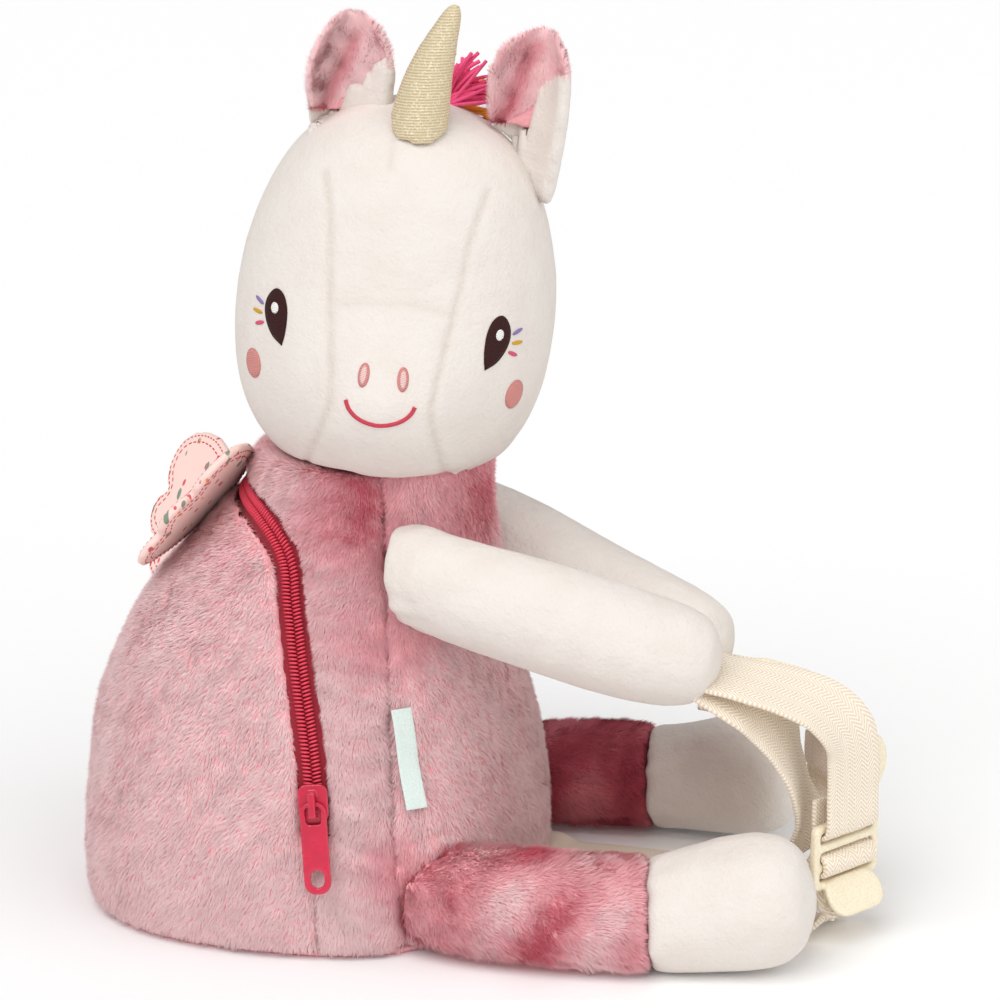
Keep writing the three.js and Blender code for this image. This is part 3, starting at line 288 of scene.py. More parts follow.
def webbing_finish(name, deep, light, column, pick, slope):
    finish = Finish(name, light, 0.85, Sheen_Weight=0.15)
    across, along = finish.flat_places()
    lean = across.fold(column) * slope
    yarn = ((along + lean) * (2 * math.pi / pick)).sine() * 0.5 + 0.5
    cords = (across * (2 * math.pi / (pick * 0.8))).sine() * 0.5 + 0.5
    fuzz = finish.noise(0.6 * MM, 3)
    share = yarn * 0.6 + cords * 0.15 + fuzz * 0.35
    finish.set("Base Color", finish.mix(share.step(0.2, 0.95), deep, light))
    finish.bump(yarn * 0.7 + cords * 0.3 + fuzz * 0.2, 0.25 * MM)
    return finish


def plain_finish(name, color, roughness, size, depth, **constants):
    finish = Finish(name, color, roughness, **constants)
    grain = finish.noise(size, 2)
    darker = tuple(value * 0.86 for value in color[:3]) + (1,)
    finish.set("Base Color", finish.mix(grain.step(0.3, 0.8), color, darker))
    finish.set("Roughness", grain * 0.2 + roughness - 0.1)
    finish.bump(grain, depth)
    return finish


gold_knit = knit_finish()
cotton_webbing = webbing_finish("cotton_webbing", tone(232, 212, 186), tone(255, 247, 234), 3.1, 1.5, 1.0)
zip_weave = webbing_finish("zip_weave", RASPBERRY_DEEP, RASPBERRY, 1.0, 0.55, 1.0)
zip_nylon = plain_finish("zip_nylon", tone(230, 66, 90), 0.42, 0.6 * MM, 0.02 * MM)
zip_enamel = plain_finish("zip_enamel", tone(206, 30, 66), 0.3, 5 * MM, 0.02 * MM, Coat_Weight=0.5)
cream_plastic = plain_finish("cream_plastic", tone(246, 234, 206), 0.36, 0.8 * MM, 0.01 * MM, Coat_Weight=0.1)
yarn_finishes = {
    "yarn_pink": plain_finish("yarn_pink", tone(252, 92, 146), 0.8, 1.0 * MM, 0.2 * MM),
    "yarn_orange": plain_finish("yarn_orange", tone(244, 160, 50), 0.8, 1.0 * MM, 0.2 * MM),
    "yarn_lilac": plain_finish("yarn_lilac", tone(232, 228, 248), 0.8, 1.0 * MM, 0.2 * MM),
}
print("knit, webbing and tape are mixed")

# %% [markdown]
# Small helpers keep the modelling steps short. Each acts on one piece: select it alone, run one modifier
# and apply it, read or write all its points at once, and hand the finished piece to the frame.


# %% Modelling helpers
MERGE = 0.01 * MM


def activate(piece):
    bpy.ops.object.select_all(action="DESELECT")
    piece.select_set(True)
    bpy.context.view_layer.objects.active = piece


def modify(piece, kind, **settings):
    activate(piece)
    modifier = piece.modifiers.new(kind.lower(), kind)
    for setting, value in settings.items():
        setattr(modifier, setting, value)
    bpy.ops.object.modifier_apply(modifier=modifier.name)


def in_edit_mode(piece, *steps):
    activate(piece)
    bpy.ops.object.mode_set(mode="EDIT")
    bpy.ops.mesh.select_all(action="SELECT")
    for step in steps:
        step()
    bpy.ops.object.mode_set(mode="OBJECT")


def point_rows(piece, kind="co"):
    rows = np.empty(len(piece.data.vertices) * 3, np.float32)
    piece.data.vertices.foreach_get(kind, rows)
    return rows.reshape(-1, 3).astype(float)


def move_points(piece, rows):
    piece.data.vertices.foreach_set("co", rows.astype(np.float32).ravel())
    piece.data.update()


def copy_of(node, name):
    piece = bpy.data.objects.new(name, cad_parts[node].data.copy())
    piece.data.name = name
    bpy.context.scene.collection.objects.link(piece)
    in_edit_mode(piece, lambda: bpy.ops.mesh.remove_doubles(threshold=MERGE))
    return piece


def dress(piece, finish, slot, *nodes, fill=None, body="bag"):
    piece.data.materials.clear()
    piece.data.materials.append(finish.material)
    activate(piece)
    bpy.ops.object.shade_smooth()
    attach(piece, body)
    if nodes:
        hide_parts(*nodes)
    print(piece.name, "has", len(piece.data.polygons), "faces")
    return piece


def unit(rows):
    return rows / np.maximum(np.linalg.norm(rows, axis=-1, keepdims=True), 1e-12)


def waves(places, size, seed, count=7):
    """A smooth random value, about -1 to 1, that changes over distances of about the given size."""
    random = np.random.default_rng(seed)
    ways = unit(random.normal(size=(count, 3)))
    turns = random.uniform(0, 2 * math.pi, count)
    return np.sin(places @ ways.T * (2 * math.pi / size) + turns).sum(1) / math.sqrt(count)


print("helpers are ready")

# %% [markdown]
# Stuffed cloth starts from the CAD solid. A voxel remesh gives it an even skin and rounds its corners,
# and a smoothing pass takes the facets away. A short cloth simulation with a little air pressure then
# lets the skin find its own tension, as stuffing does. The limit on the movement keeps the size true.

# %% Stuffed forms
SIM_FRAMES = 20


def soft_copy(node, name, voxel, smooth):
    piece = copy_of(node, name)
    modify(piece, "REMESH", mode="VOXEL", voxel_size=voxel)
    modify(piece, "SMOOTH", factor=0.5, iterations=smooth)
    return piece


def plump(piece, pressure, limit):
    start = point_rows(piece)
    activate(piece)
    bpy.ops.object.modifier_add(type="CLOTH")
    cloth = piece.modifiers[-1]
    cloth.settings.use_pressure = True
    cloth.settings.uniform_pressure_force = pressure
    cloth.settings.effector_weights.gravity = 0
    cloth.point_cache.frame_start = 1
    cloth.point_cache.frame_end = SIM_FRAMES
    for step in range(1, SIM_FRAMES + 1):
        bpy.context.scene.frame_set(step)
    seen = piece.evaluated_get(bpy.context.evaluated_depsgraph_get())
    swollen = np.array([vertex.co for vertex in seen.data.vertices])
    piece.modifiers.remove(cloth)
    bpy.context.scene.frame_set(1)
    shift = swollen - start
    reach = np.linalg.norm(shift, axis=1, keepdims=True)
    move_points(piece, start + shift * np.minimum(1, limit / np.maximum(reach, 1e-9)))


def stuffed(node, name, voxel, smooth, pressure=4.0, limit=1.2 * MM, levels=1):
    piece = soft_copy(node, name, voxel, smooth)
    plump(piece, pressure, limit)
    modify(piece, "SUBSURF", levels=levels, render_levels=levels)
    return piece


print("simulation runs", SIM_FRAMES, "frames a piece")

# %% [markdown]
# A pile of fibres is made of real geometry here, so that the outline is furry too. Every fibre is a
# narrow triangle that leans the way the cloth was brushed. They grow where random points fall on the
# cloth's outer face, and all fibres of a piece are one mesh. The fibres borrow most of their normals
# from the cloth below, so that the light runs softly over the form, as it does on real plush.

# %% Pile
BLADE_POINTS = 3
ROOT_DEPTH = 0.3 * MM
FLOOR_GAP = 0.05 * MM


def outer_samples(base, count, seed, keep):
    base.data.calc_loop_triangles()
    corners = np.empty(len(base.data.loop_triangles) * 3, np.int32)
    base.data.loop_triangles.foreach_get("vertices", corners)
    corners = corners.reshape(-1, 3)
    places = point_rows(base)[corners]
    facing = point_rows(base, "normal")[corners]
    area = np.linalg.norm(np.cross(places[:, 1] - places[:, 0], places[:, 2] - places[:, 0]), axis=1) / 2
    kept = keep(places.mean(1), unit(facing.mean(1)))
    area = np.where(kept, area, 0)
    random = np.random.default_rng(seed)
    print(base.name, "is covered with pile over", round(area.sum() / MM**2), "square millimetres")
    chosen = random.choice(len(area), count, p=area / area.sum())
    shares = random.dirichlet([1, 1, 1], count)[:, :, None]
    return (places[chosen] * shares).sum(1), unit((facing[chosen] * shares).sum(1)), random


def grow_pile(name, base, count, length, width, comb, seed, keep, tint, bare=None, lean=1.0):
    roots, facing, random = outer_samples(base, count, seed, keep)
    total = len(roots)
    way = comb(roots)
    side = np.cross(facing, way)
    swirl = waves(roots, 30 * MM, seed + 1)[:, None] * 0.3 + waves(roots, 7 * MM, seed + 2)[:, None] * 0.25
    way = way + side * swirl + random.normal(scale=0.13, size=(total, 3))
    way = unit(way - facing * (way * facing).sum(1, keepdims=True))
    tilt = lean + waves(roots, 9 * MM, seed + 3) * 0.12 + random.normal(scale=0.1, size=total)
    reach = length * (1 + waves(roots, 5 * MM, seed + 4) * 0.1 + random.normal(scale=0.12, size=total))
    if bare is not None:
        reach = reach * bare(roots)
    tilt, reach = tilt[:, None], reach[:, None]
    half = width / 2 * random.uniform(0.7, 1.3, (total, 1))
    blade_side = unit(np.cross(way, facing) + facing * random.normal(scale=0.25, size=(total, 1)))
    tips = roots + (facing * np.cos(tilt) + way * np.sin(tilt)) * reach
    low = roots - facing * ROOT_DEPTH
    rows = np.stack([low - blade_side * half, low + blade_side * half, tips], axis=1).reshape(-1, 3)
    rows[:, 2] = np.maximum(rows[:, 2], FLOOR_GAP)
    faces = np.arange(len(rows))
    mesh = bpy.data.meshes.new(name)
    mesh.vertices.add(len(rows))
    mesh.vertices.foreach_set("co", rows.astype(np.float32).ravel())
    mesh.loops.add(len(faces))
    mesh.loops.foreach_set("vertex_index", faces.astype(np.int32))
    mesh.polygons.add(len(faces) // 3)
    mesh.polygons.foreach_set("loop_start", np.arange(0, len(faces), 3, dtype=np.int32))
    mesh.update(calc_edges=True)
    shade = tint(roots) + 0.04 * waves(roots, 6 * MM, seed + 6) + random.normal(scale=0.07, size=total)
    shade = np.clip(shade, 0, 1)
    mesh.attributes.new("shade", "FLOAT", "POINT").data.foreach_set("value", np.repeat(shade, BLADE_POINTS))
    along = np.tile([0, 0, 1], total)
    mesh.attributes.new("along", "FLOAT", "POINT").data.foreach_set("value", along)
    shown = unit(facing + way * 0.15 + blade_side * random.normal(scale=0.12, size=(total, 1)))
    mesh.normals_split_custom_set_from_vertices(np.repeat(shown, BLADE_POINTS, axis=0).tolist())
    piece = bpy.data.objects.new(name, mesh)
    bpy.context.scene.collection.objects.link(piece)
    return piece


print("a fibre has", BLADE_POINTS, "points")

# %% [markdown]
# Straps, tapes and the label are flat bands that follow a course. Their CAD solids are rings of four
# corners between two end caps. Walking from one cap to the other gives the course back: the middle of
# each ring, the direction across the band and the direction it faces. A grid primitive is then laid
# along a smooth curve through the rings, and its flat size goes into the UV map in millimetres.


# %% Bands along a course
def ring_rows(node):
    probe = copy_of(node, node + "_rings")
    links = {vertex.index: set() for vertex in probe.data.vertices}
    for edge in probe.data.edges:
        first, second = edge.vertices
        links[first].add(second)
        links[second].add(first)
    places = point_rows(probe)
    bpy.data.objects.remove(probe)
    cap = next(index for index, near in links.items() if len(near) == 4)
    seen, ring, rows = {cap}, {cap}, []
    while ring:
        ring = {near for index in ring for near in links[index]} - seen
        seen |= ring
        if len(ring) == 4:
            rows.append(course_row(places[sorted(ring)], rows[-1] if rows else None))
    return np.array(rows)


def course_row(corners, before):
    reach = np.linalg.norm(corners - corners[0], axis=1)
    _, near, wide, far = np.argsort(reach)
    across = unit(corners[wide] - corners[0] + corners[far] - corners[near])
    out = unit(corners[near] - corners[0])
    if before is not None:
        across = across * (1 if across @ before[3:6] > 0 else -1)
        out = out * (1 if out @ before[6:9] > 0 else -1)
    return np.concatenate([corners.mean(0), across, out])


def smooth_rows(rows, count):
    """The rows of a table on a smooth curve through them, spaced evenly by their first three columns."""
    ends = np.vstack([2 * rows[0] - rows[1], rows, 2 * rows[-1] - rows[-2]])
    place = np.linspace(0, len(rows) - 1, 8 * count)
    index = np.minimum(place.astype(int), len(rows) - 2)
    t = (place - index)[:, None]
    a, b, c, d = (ends[index + shift] for shift in range(4))
    fine = b + 0.5 * t * (c - a + t * (2 * a - 5 * b + 4 * c - d + t * (3 * (b - c) + d - a)))
    steps = np.linalg.norm(np.diff(fine[:, :3], axis=0), axis=1)
    run = np.concatenate([[0], np.cumsum(steps)])
    even = np.linspace(0, run[-1], count)
    return np.column_stack([np.interp(even, run, column) for column in fine.T]), run[-1]


def lay_band(name, course, length, width, thickness, columns=6, lift=0.0):
    rows = len(course)
    bpy.ops.mesh.primitive_grid_add(x_subdivisions=columns, y_subdivisions=rows - 1, size=1)
    piece = bpy.context.object
    piece.name = name
    flat = point_rows(piece)
    index = np.rint((flat[:, 1] + 0.5) * (rows - 1)).astype(int)
    at = course[index]
    aside = flat[:, :1] * width
    move_points(piece, at[:, :3] + at[:, 3:6] * aside + at[:, 6:9] * lift)
    corners = np.empty(len(piece.data.loops), np.int32)
    piece.data.loops.foreach_get("vertex_index", corners)
    sheet = np.column_stack([aside[:, 0] / MM, (flat[:, 1] + 0.5) * length / MM])
    piece.data.uv_layers[0].data.foreach_set("uv", sheet[corners].astype(np.float32).ravel())
    modify(piece, "SOLIDIFY", thickness=thickness, offset=0)
    modify(piece, "BEVEL", width=thickness * 0.35, segments=2, limit_method="ANGLE", angle_limit=1.2)
    print(name, "is", round(length / MM, 1), "mm long and", round(width / MM, 1), "mm wide")
    return piece


print("bands are ready")

# %% [markdown]
# Many small things that repeat, such as zip teeth and stitches, are one template and a list of places.
# The copies are joined into one mesh in one go, which is much quicker than copying objects.


# %% Rows of small copies
def joined_copies(name, template, frames):
    """Copies of a template mesh, one for each 3 by 4 frame of three direction columns and a place."""
    base = point_rows(template)
    rows = np.einsum("nij,vj->nvi", frames[:, :, :3], base) + frames[:, None, :, 3]
    faces = [list(polygon.vertices) for polygon in template.data.polygons]
    step = len(base)
    every = [[corner + copy * step for corner in face] for copy in range(len(frames)) for face in faces]
    mesh = bpy.data.meshes.new(name)
    mesh.from_pydata(rows.reshape(-1, 3).tolist(), [], every)
    mesh.update()
    piece = bpy.data.objects.new(name, mesh)
    bpy.context.scene.collection.objects.link(piece)
    bpy.data.objects.remove(template)
    return piece


def bead(name, length, width, height, cuts=1):
    """A cube swelled to a rounded bar, long in X."""
    bpy.ops.mesh.primitive_cube_add(size=1)
    piece = bpy.context.object
    piece.name = name
    modify(piece, "SUBSURF", levels=cuts, render_levels=cuts)
    rows = point_rows(piece)
    move_points(piece, rows / np.abs(rows).max(0) * np.array([length, width, height]) / 2)
    return piece


def frames_of(places, along, out):
    """Frames whose X runs along and whose Z points out."""
    x = unit(along)
    y = unit(np.cross(out, x))
    z = np.cross(x, y)
    return np.stack([x, y, z, places], axis=2)


def thread_row(name, course, out, stitch, gap, width):
    """Stitches along a course of points that lies on a surface facing out."""
    steps = np.linalg.norm(np.diff(course, axis=0), axis=1)
    run = np.concatenate([[0], np.cumsum(steps)])
    count = max(int(run[-1] / (stitch + gap)), 1)
    middles = (np.arange(count) + 0.5) * run[-1] / count
    at = lambda values, table: np.column_stack([np.interp(values, run, column) for column in table.T])
    places = at(middles, course)
    along = at(middles + stitch / 2, course) - at(middles - stitch / 2, course)
    facing = at(middles, out)
    template = bead(name + "_stitch", stitch, width, width * 0.8)
    return joined_copies(name, template, frames_of(places, along, facing))


print("copies are ready")

# %% [markdown]
# The bag's body has three plush panels: the belly, the gusset round the sides and shoulders, and the
# back pouch behind the zip. Sewn edges pull in, so each panel sinks towards the side seam and towards
# the zip, and between them it swells a little.

# %% Body panels
BODY_HEIGHT = 160 * MM
BODY_DEPTH = 158 * MM
SEAM_LOW = -0.335
SEAM_HIGH = -0.225
body_axis = np.array([0, -0.02, 0])
body_core = np.array([0, -0.02, 0.08])


def outward(rows):
    return unit((rows - body_axis) * [1, 1, 0])


def facing_out(rows):
    """A band's rows with their third direction turned away from the body's axis."""
    turn = np.sign((rows[:, 6:9] * outward(rows[:, :3])).sum(1))[:, None]
    return np.column_stack([rows[:, :6], rows[:, 6:9] * turn])


TAPE_END = 6 * MM  # the tape runs on under the plush past both ends of the coil


def with_ends(rows, reach):
    low = rows[0] + np.pad(unit(rows[0, :3] - rows[1, :3]) * reach, (0, 6))
    high = rows[-1] + np.pad(unit(rows[-1, :3] - rows[-2, :3]) * reach, (0, 6))
    return np.vstack([low, rows, high])


zip_course, zip_length = smooth_rows(with_ends(facing_out(ring_rows("zip_tape")), TAPE_END), 300)


def seam_gap(rows):
    share = rows[:, 2] / BODY_HEIGHT
    return rows[:, 1] - BODY_DEPTH * (SEAM_LOW + (SEAM_HIGH - SEAM_LOW) * share)


def nearest_on(course, rows):
    gaps = np.array([np.linalg.norm(rows - place, axis=1) for place in course])
    return gaps.min(0), gaps.argmin(0)


FOLDS = [  # depth, width and course in millimetres: creases that run into the seams
    (1.7, 3.2, [(-77, -28, 46), (-74, -39, 40), (-68, -51, 35)]),
    (1.2, 3.0, [(-76, -30, 60), (-72, -35, 57), (-66, -41, 66)]),
    (0.9, 3.5, [(-70, -32, 70), (-62, -36, 89), (-56, -38, 101)]),
    (1.1, 3.5, [(-79, -19, 42), (-80, -14, 33), (-81, -11, 22)]),
    (1.0, 3.0, [(-78, -31, 34), (-78, -30, 24), (-78, -29, 12)]),
    (1.0, 2.5, [(-64, -55, 42), (-57, -63, 42), (-50, -72, 40)]),
    (1.3, 5.0, [(-13, 42, 125), (-30, 40, 119), (-45, 38, 113)]),
    (1.1, 3.0, [(-52, -46, 112), (-58, -52, 98), (-60, -58, 84)]),
]
FOLD_STEPS = 24
PANEL_SWELL = 0.8 * MM


def fold_depth(rows):
    total = np.zeros(len(rows))
    for depth, width, course in FOLDS:
        line = smooth_rows(np.array(course, float) * MM, FOLD_STEPS)[0]
        gap, place = nearest_on(line, rows)
        taper = np.sin(math.pi * np.clip(place / (FOLD_STEPS - 1), 0.12, 0.88))
        total += depth * MM * taper * np.exp(-((gap / (width * MM)) ** 2))
    return total


def body_panel(node, name):
    piece = copy_of(node, name)
    modify(piece, "DISPLACE", strength=PANEL_SWELL, mid_level=0)
    modify(piece, "REMESH", mode="VOXEL", voxel_size=1.8 * MM)
    modify(piece, "SMOOTH", factor=0.5, iterations=8)
    rows = point_rows(piece)
    by_seam = seam_gap(rows)
    by_zip, _ = nearest_on(zip_course[::4, :3], rows)
    sunk = 1.5 * MM * np.exp(-((by_seam / (6 * MM)) ** 2))
    calm = np.clip(by_zip / (16 * MM), 0, 1) * np.clip(rows[:, 2] / (12 * MM), 0, 1)
    swell = 1.2 * MM * waves(rows, 60 * MM, 3) * calm * np.clip(np.abs(by_seam) / (10 * MM), 0, 1)
    rows = rows + outward(rows) * (swell - sunk - fold_depth(rows))[:, None]
    move_points(piece, rows)
    return piece


def is_outside(places, facing):
    return (facing * unit(places - body_core)).sum(1) > 0.15


def brushed_down(rows):
    return np.tile([0.08, 0.3, -1.0], (len(rows), 1))


def short_by_zip(rows):
    return np.clip((nearest_on(zip_course[::4, :3], rows)[0] - 3.5 * MM) / (4 * MM), 0.4, 1)


def spot(rows, place, reach):
    return np.exp(-((np.linalg.norm(rows - np.array(place) * MM, axis=1) / (reach * MM)) ** 2))


def body_tone_and_painted_shade(rows):
    """Tone that changes at random in broad patches, with painted shade under the head round the neck, along
    the side seam, at the arm roots and at the lower corners.
    """
    high = np.clip((rows[:, 2] / BODY_HEIGHT - 0.6) / 0.28, 0, 1)
    front = np.clip(0.5 - rows[:, 1] / BODY_DEPTH * 3, 0, 1)
    clouds = np.clip(0.5 + 0.6 * waves(rows, 40 * MM, 5), 0, 1)
    seam = np.exp(-((seam_gap(rows) / (10 * MM)) ** 2))
    # deep is painted shade: round the neck under the head, along the side seam, at an arm root and at a lower
    # corner.
    deep = high * front * (0.32 + 0.42 * clouds) + seam * 0.2 * clouds
    deep = deep + 0.4 * spot(rows, (-66, -50, 34), 13) + 0.35 * spot(rows, (-52, -44, 104), 16)
    return 0.95 - deep + 0.06 * waves(rows, 34 * MM, 9)


PILE_LENGTH = 2.7 * MM
PILE_WIDTH = 0.5 * MM
PANELS = [  # node, cloth, seed, fibres
    ("belly_panel", "belly_cloth", 11, 80000),
    ("side_gusset", "gusset_cloth", 23, 100000),
    ("back_panel", "pouch_cloth", 37, 130000),
]
for node, name, seed, fibres in PANELS:
    panel = dress(body_panel(node, name), rose_ground, "plush_rose", node)
    fur = grow_pile(
        name.replace("cloth", "pile"), panel, fibres, PILE_LENGTH, PILE_WIDTH, brushed_down, seed, is_outside,
        body_tone_and_painted_shade, bare=short_by_zip,
    )
    dress(fur, rose_pile, "plush_rose")

# %% [markdown]
# The flat bottom is a plain oval of the same cloth with the pile worn short.

# %% Bottom
bottom = soft_copy("base_panel", "bottom_cloth", 2.2 * MM, 2)
dress(bottom, rose_ground, "plush_rose", "base_panel")
rim_fur = grow_pile(
    "bottom_pile", bottom, 16000, PILE_LENGTH * 0.8, PILE_WIDTH, brushed_down, 43,
    lambda places, facing: facing[:, 2] > -0.4, body_tone_and_painted_shade,
)
dress(rim_fur, rose_pile, "plush_rose")

# %% [markdown]
# The zip has a woven tape and two rows of nylon coil that mesh in the middle. The coil is a chain of
# small loops: one rounded bar, copied left and right by turns along the zip's course.

# %% Zip
TAPE_WIDTH = 14 * MM
TAPE_THICKNESS = 1.0 * MM
TOOTH_PITCH = 1.3 * MM
TOOTH_LENGTH = 3.5 * MM
tape = lay_band("zip_tape_cloth", zip_course, zip_length, TAPE_WIDTH, TAPE_THICKNESS, columns=8)
dress(tape, zip_weave, "zip_tape_cloth", "zip_tape")

coil_rows = facing_out(ring_rows("zip_chain"))
tooth_count = int(smooth_rows(coil_rows, 300)[1] / TOOTH_PITCH)
coil_course, _ = smooth_rows(coil_rows, 2 * tooth_count)
hand = np.tile([1, -1], tooth_count)[:, None]
coil_along = unit(np.gradient(coil_course[:, :3], axis=0))
tooth_places = coil_course[:, :3] + coil_course[:, 3:6] * hand * TOOTH_LENGTH * 0.44
tooth_way = coil_course[:, 3:6] * hand + coil_along * 0.2
tooth = bead("tooth", TOOTH_LENGTH, TOOTH_PITCH * 0.66, 1.8 * MM, cuts=1)
coil = joined_copies("zip_coil", tooth, frames_of(tooth_places, tooth_way, coil_course[:, 6:9]))
dress(coil, zip_nylon, "zip_nylon", "zip_chain")

# %% [markdown]
# Moulded and cast parts have small rounded edges that catch the light. A fine voxel remesh with a few
# smoothing passes rounds every edge of the sharp CAD solid alike.


# %% Hard parts
def moulded(node, name, voxel, smooth, finish, slot, body="bag"):
    piece = soft_copy(node, name, voxel, smooth)
    return dress(piece, finish, slot, node, body=body)


moulded("zip_slider", "slider", 0.34 * MM, 3, zip_enamel, "zip_enamel")
moulded("zip_pull", "pull_tab", 0.34 * MM, 3, zip_enamel, "zip_enamel", body="zip_pull")
for side in ("right", "left"):
    moulded(f"buckle_{side}", f"ladder_lock_{side}", 0.7 * MM, 3, cream_plastic, "plastic_cream")
    moulded(f"disc_{side}", f"round_clip_{side}", 0.7 * MM, 3, cream_plastic, "plastic_cream")

# %% [markdown]
# The straps are 25 mm cotton webbing. Each is laid along its own course, with the thickness of the real
# weave.

# %% Straps
WEBBING_WIDTH = 25 * MM
WEBBING_THICKNESS = 1.8 * MM
BAND_STEP = 1.6 * MM
STRAPS = ["right_outer", "right_inner", "right_lower", "left_upper", "left_lower"]
for place in STRAPS:
    rows = ring_rows(f"strap_{place}")
    _, length = smooth_rows(rows, 60)
    course, length = smooth_rows(rows, int(length / BAND_STEP))
    strap = lay_band(f"webbing_{place}", course, length, WEBBING_WIDTH, WEBBING_THICKNESS, columns=8)
    dress(strap, cotton_webbing, "webbing_cotton", f"strap_{place}")

# %% [markdown]
# The small satin label is left bare. It lies on the pile beside the side seam.

# %% Label
LABEL_WIDTH = 7.6 * MM
LABEL_SHIFT = 4.4 * MM
LABEL_SLANT = 1.2
LABEL_LIFT = 2.2 * MM
label_satin = plain_finish("label_satin", tone(216, 230, 224), 0.45, 0.5 * MM, 0.05 * MM, Sheen_Weight=0.2)
label_course, label_length = smooth_rows(facing_out(ring_rows("side_label")), 26)
share = np.linspace(0, 1, 26)[:, None]
bend = np.sin(share * 2.5 * math.pi) * 0.5 * MM
low_share = 1 - share if label_course[0, 2] < label_course[-1, 2] else share
label_course[:, :3] += label_course[:, 6:9] * (LABEL_LIFT + bend)
label_course[:, 1:2] += LABEL_SHIFT * (1 - LABEL_SLANT * low_share)
label = lay_band("label_cloth", label_course[2:-1], label_length, LABEL_WIDTH, 0.6 * MM, columns=5)
dress(label, label_satin, "label_satin", "side_label")

# %% [markdown]
# The head, arms and feet are stuffed velour. Head panels meet in fine seams, which are pressed into the
# skin along their lines in the face's own frame: X to the animal's left, Z up, chin at zero.

# %% Head
HEAD_TURN = -76
HEAD_ROLL = 6.5
HEAD_PLACE = Vector((0, -22.91, 146.5)) * MM
head_frame = (
    Matrix.Translation(HEAD_PLACE)
    @ Matrix.Rotation(math.radians(HEAD_TURN), 4, "Z")
    @ Matrix.Rotation(math.radians(HEAD_ROLL), 4, "Y")
)
to_head = np.array(head_frame.inverted())
from_head = np.array(head_frame)
SIDE_SEAM = [(27, 112), (23.5, 98), (22, 84), (20.5, 72), (19, 62), (17, 44), (19, 32), (22.5, 19), (24, 10)]
BRIDGE_SEAM = [(-20, 72), (-10, 74), (0, 75), (10, 75), (20.5, 73)]
BROW_SEAM = [(-6, 125), (-6, 117)]
SEAM_DEPTH = 0.7 * MM
SEAM_WIDTH = 1.25 * MM


def in_head(rows):
    return rows @ to_head[:3, :3].T + to_head[:3, 3]


def curve_through(pairs, count):
    rows = np.column_stack([np.array(pairs, float), np.zeros(len(pairs))])
    return smooth_rows(rows, count)[0][:, :2]


def press_seam(piece, pairs, depth):
    """Sinks the skin along a seam and gives back how near each point is to it."""
    line = curve_through(pairs, 60) * MM
    rows = point_rows(piece)
    local = in_head(rows)
    gap, _ = nearest_on(line, local[:, [0, 2]])
    near = np.exp(-((gap / SEAM_WIDTH) ** 2)) * (local[:, 1] < 0)
    move_points(piece, rows - point_rows(piece, "normal") * (near * depth)[:, None])
    return near * depth / SEAM_DEPTH


head = stuffed("head", "head_velour", 3.2 * MM, 11, limit=0.8 * MM)
mirrored = [(-x, z) for x, z in SIDE_SEAM]
SEAMS = [(SIDE_SEAM, SEAM_DEPTH), (mirrored, SEAM_DEPTH), (BRIDGE_SEAM, 0.3 * MM), (BROW_SEAM, 0.4 * MM)]
shadow = np.max([press_seam(head, seam, depth) for seam, depth in SEAMS], axis=0)
head.data.attributes.new("seam", "FLOAT", "POINT").data.foreach_set("value", shadow)
dress(head, cream_velour, "velour_cream", "head", fill=0.85)

# %% [markdown]
# The face is embroidered: filled patches of satin stitch, slightly raised and crowned. Each patch starts
# as a circle whose rim takes the outline, is subdivided, and is then laid on the head by shooting a ray
# at it from the front. Outlines are in millimetres in the face's frame.

# %% Face
head_tree = BVHTree.FromObject(head, bpy.context.evaluated_depsgraph_get())
FORWARD = Vector(from_head[:3, 1])


def on_head(x, z, lift):
    start = head_frame @ Vector((x * MM, -0.2, z * MM))
    place, facing, _, _ = head_tree.ray_cast(start, FORWARD)
    return place + facing * lift


def satin(name, color, grain):
    finish = Finish(name, color, 0.75, Specular_IOR_Level=0.25)
    split = finish.node("ShaderNodeSeparateXYZ", {}, {0: finish.places()})
    slant = Signal(finish, split.outputs[2]) + Signal(finish, split.outputs[1]) * 0.4
    thread = slant * (2 * math.pi / grain)
    stripe = (thread + finish.noise(2 * MM, 1) * 3).sine() * 0.5 + 0.5
    darker = tuple(value * 0.62 for value in color[:3]) + (1,)
    finish.set("Base Color", finish.mix(stripe * 0.6, color, darker))
    finish.bump(stripe, 0.15 * MM)
    return finish


def patch(name, outline, crown, finish, slot="velour_cream", base=0.0):
    count = len(outline)
    bpy.ops.mesh.primitive_circle_add(vertices=count, radius=1, fill_type="TRIFAN")
    piece = bpy.context.object
    piece.name = name
    rows = point_rows(piece)
    rim = np.linalg.norm(rows, axis=1) > 0.5
    flat = np.zeros((len(rows), 2))
    flat[rim] = outline
    flat[~rim] = np.mean(outline, axis=0)
    move_points(piece, np.column_stack([flat, np.zeros(len(flat))]))
    in_edit_mode(piece, lambda: bpy.ops.mesh.subdivide(number_cuts=3))
    rows = point_rows(piece)
    dense = np.vstack([outline, outline[:1]])
    edge = np.concatenate([np.linspace(a, b, 5)[:4] for a, b in zip(dense[:-1], dense[1:])])
    gap = np.min([np.linalg.norm(rows[:, :2] - place, axis=1) for place in edge], axis=0)
    lift = base + crown * (1 - np.exp(-gap / 0.7))
    laid = [on_head(x, z, height * MM) for (x, z, _), height in zip(rows, lift)]
    move_points(piece, np.array(laid))
    modify(piece, "SOLIDIFY", thickness=0.5 * MM, offset=0)
    in_edit_mode(piece, lambda: bpy.ops.mesh.normals_make_consistent(inside=False))
    return dress(piece, finish, slot)


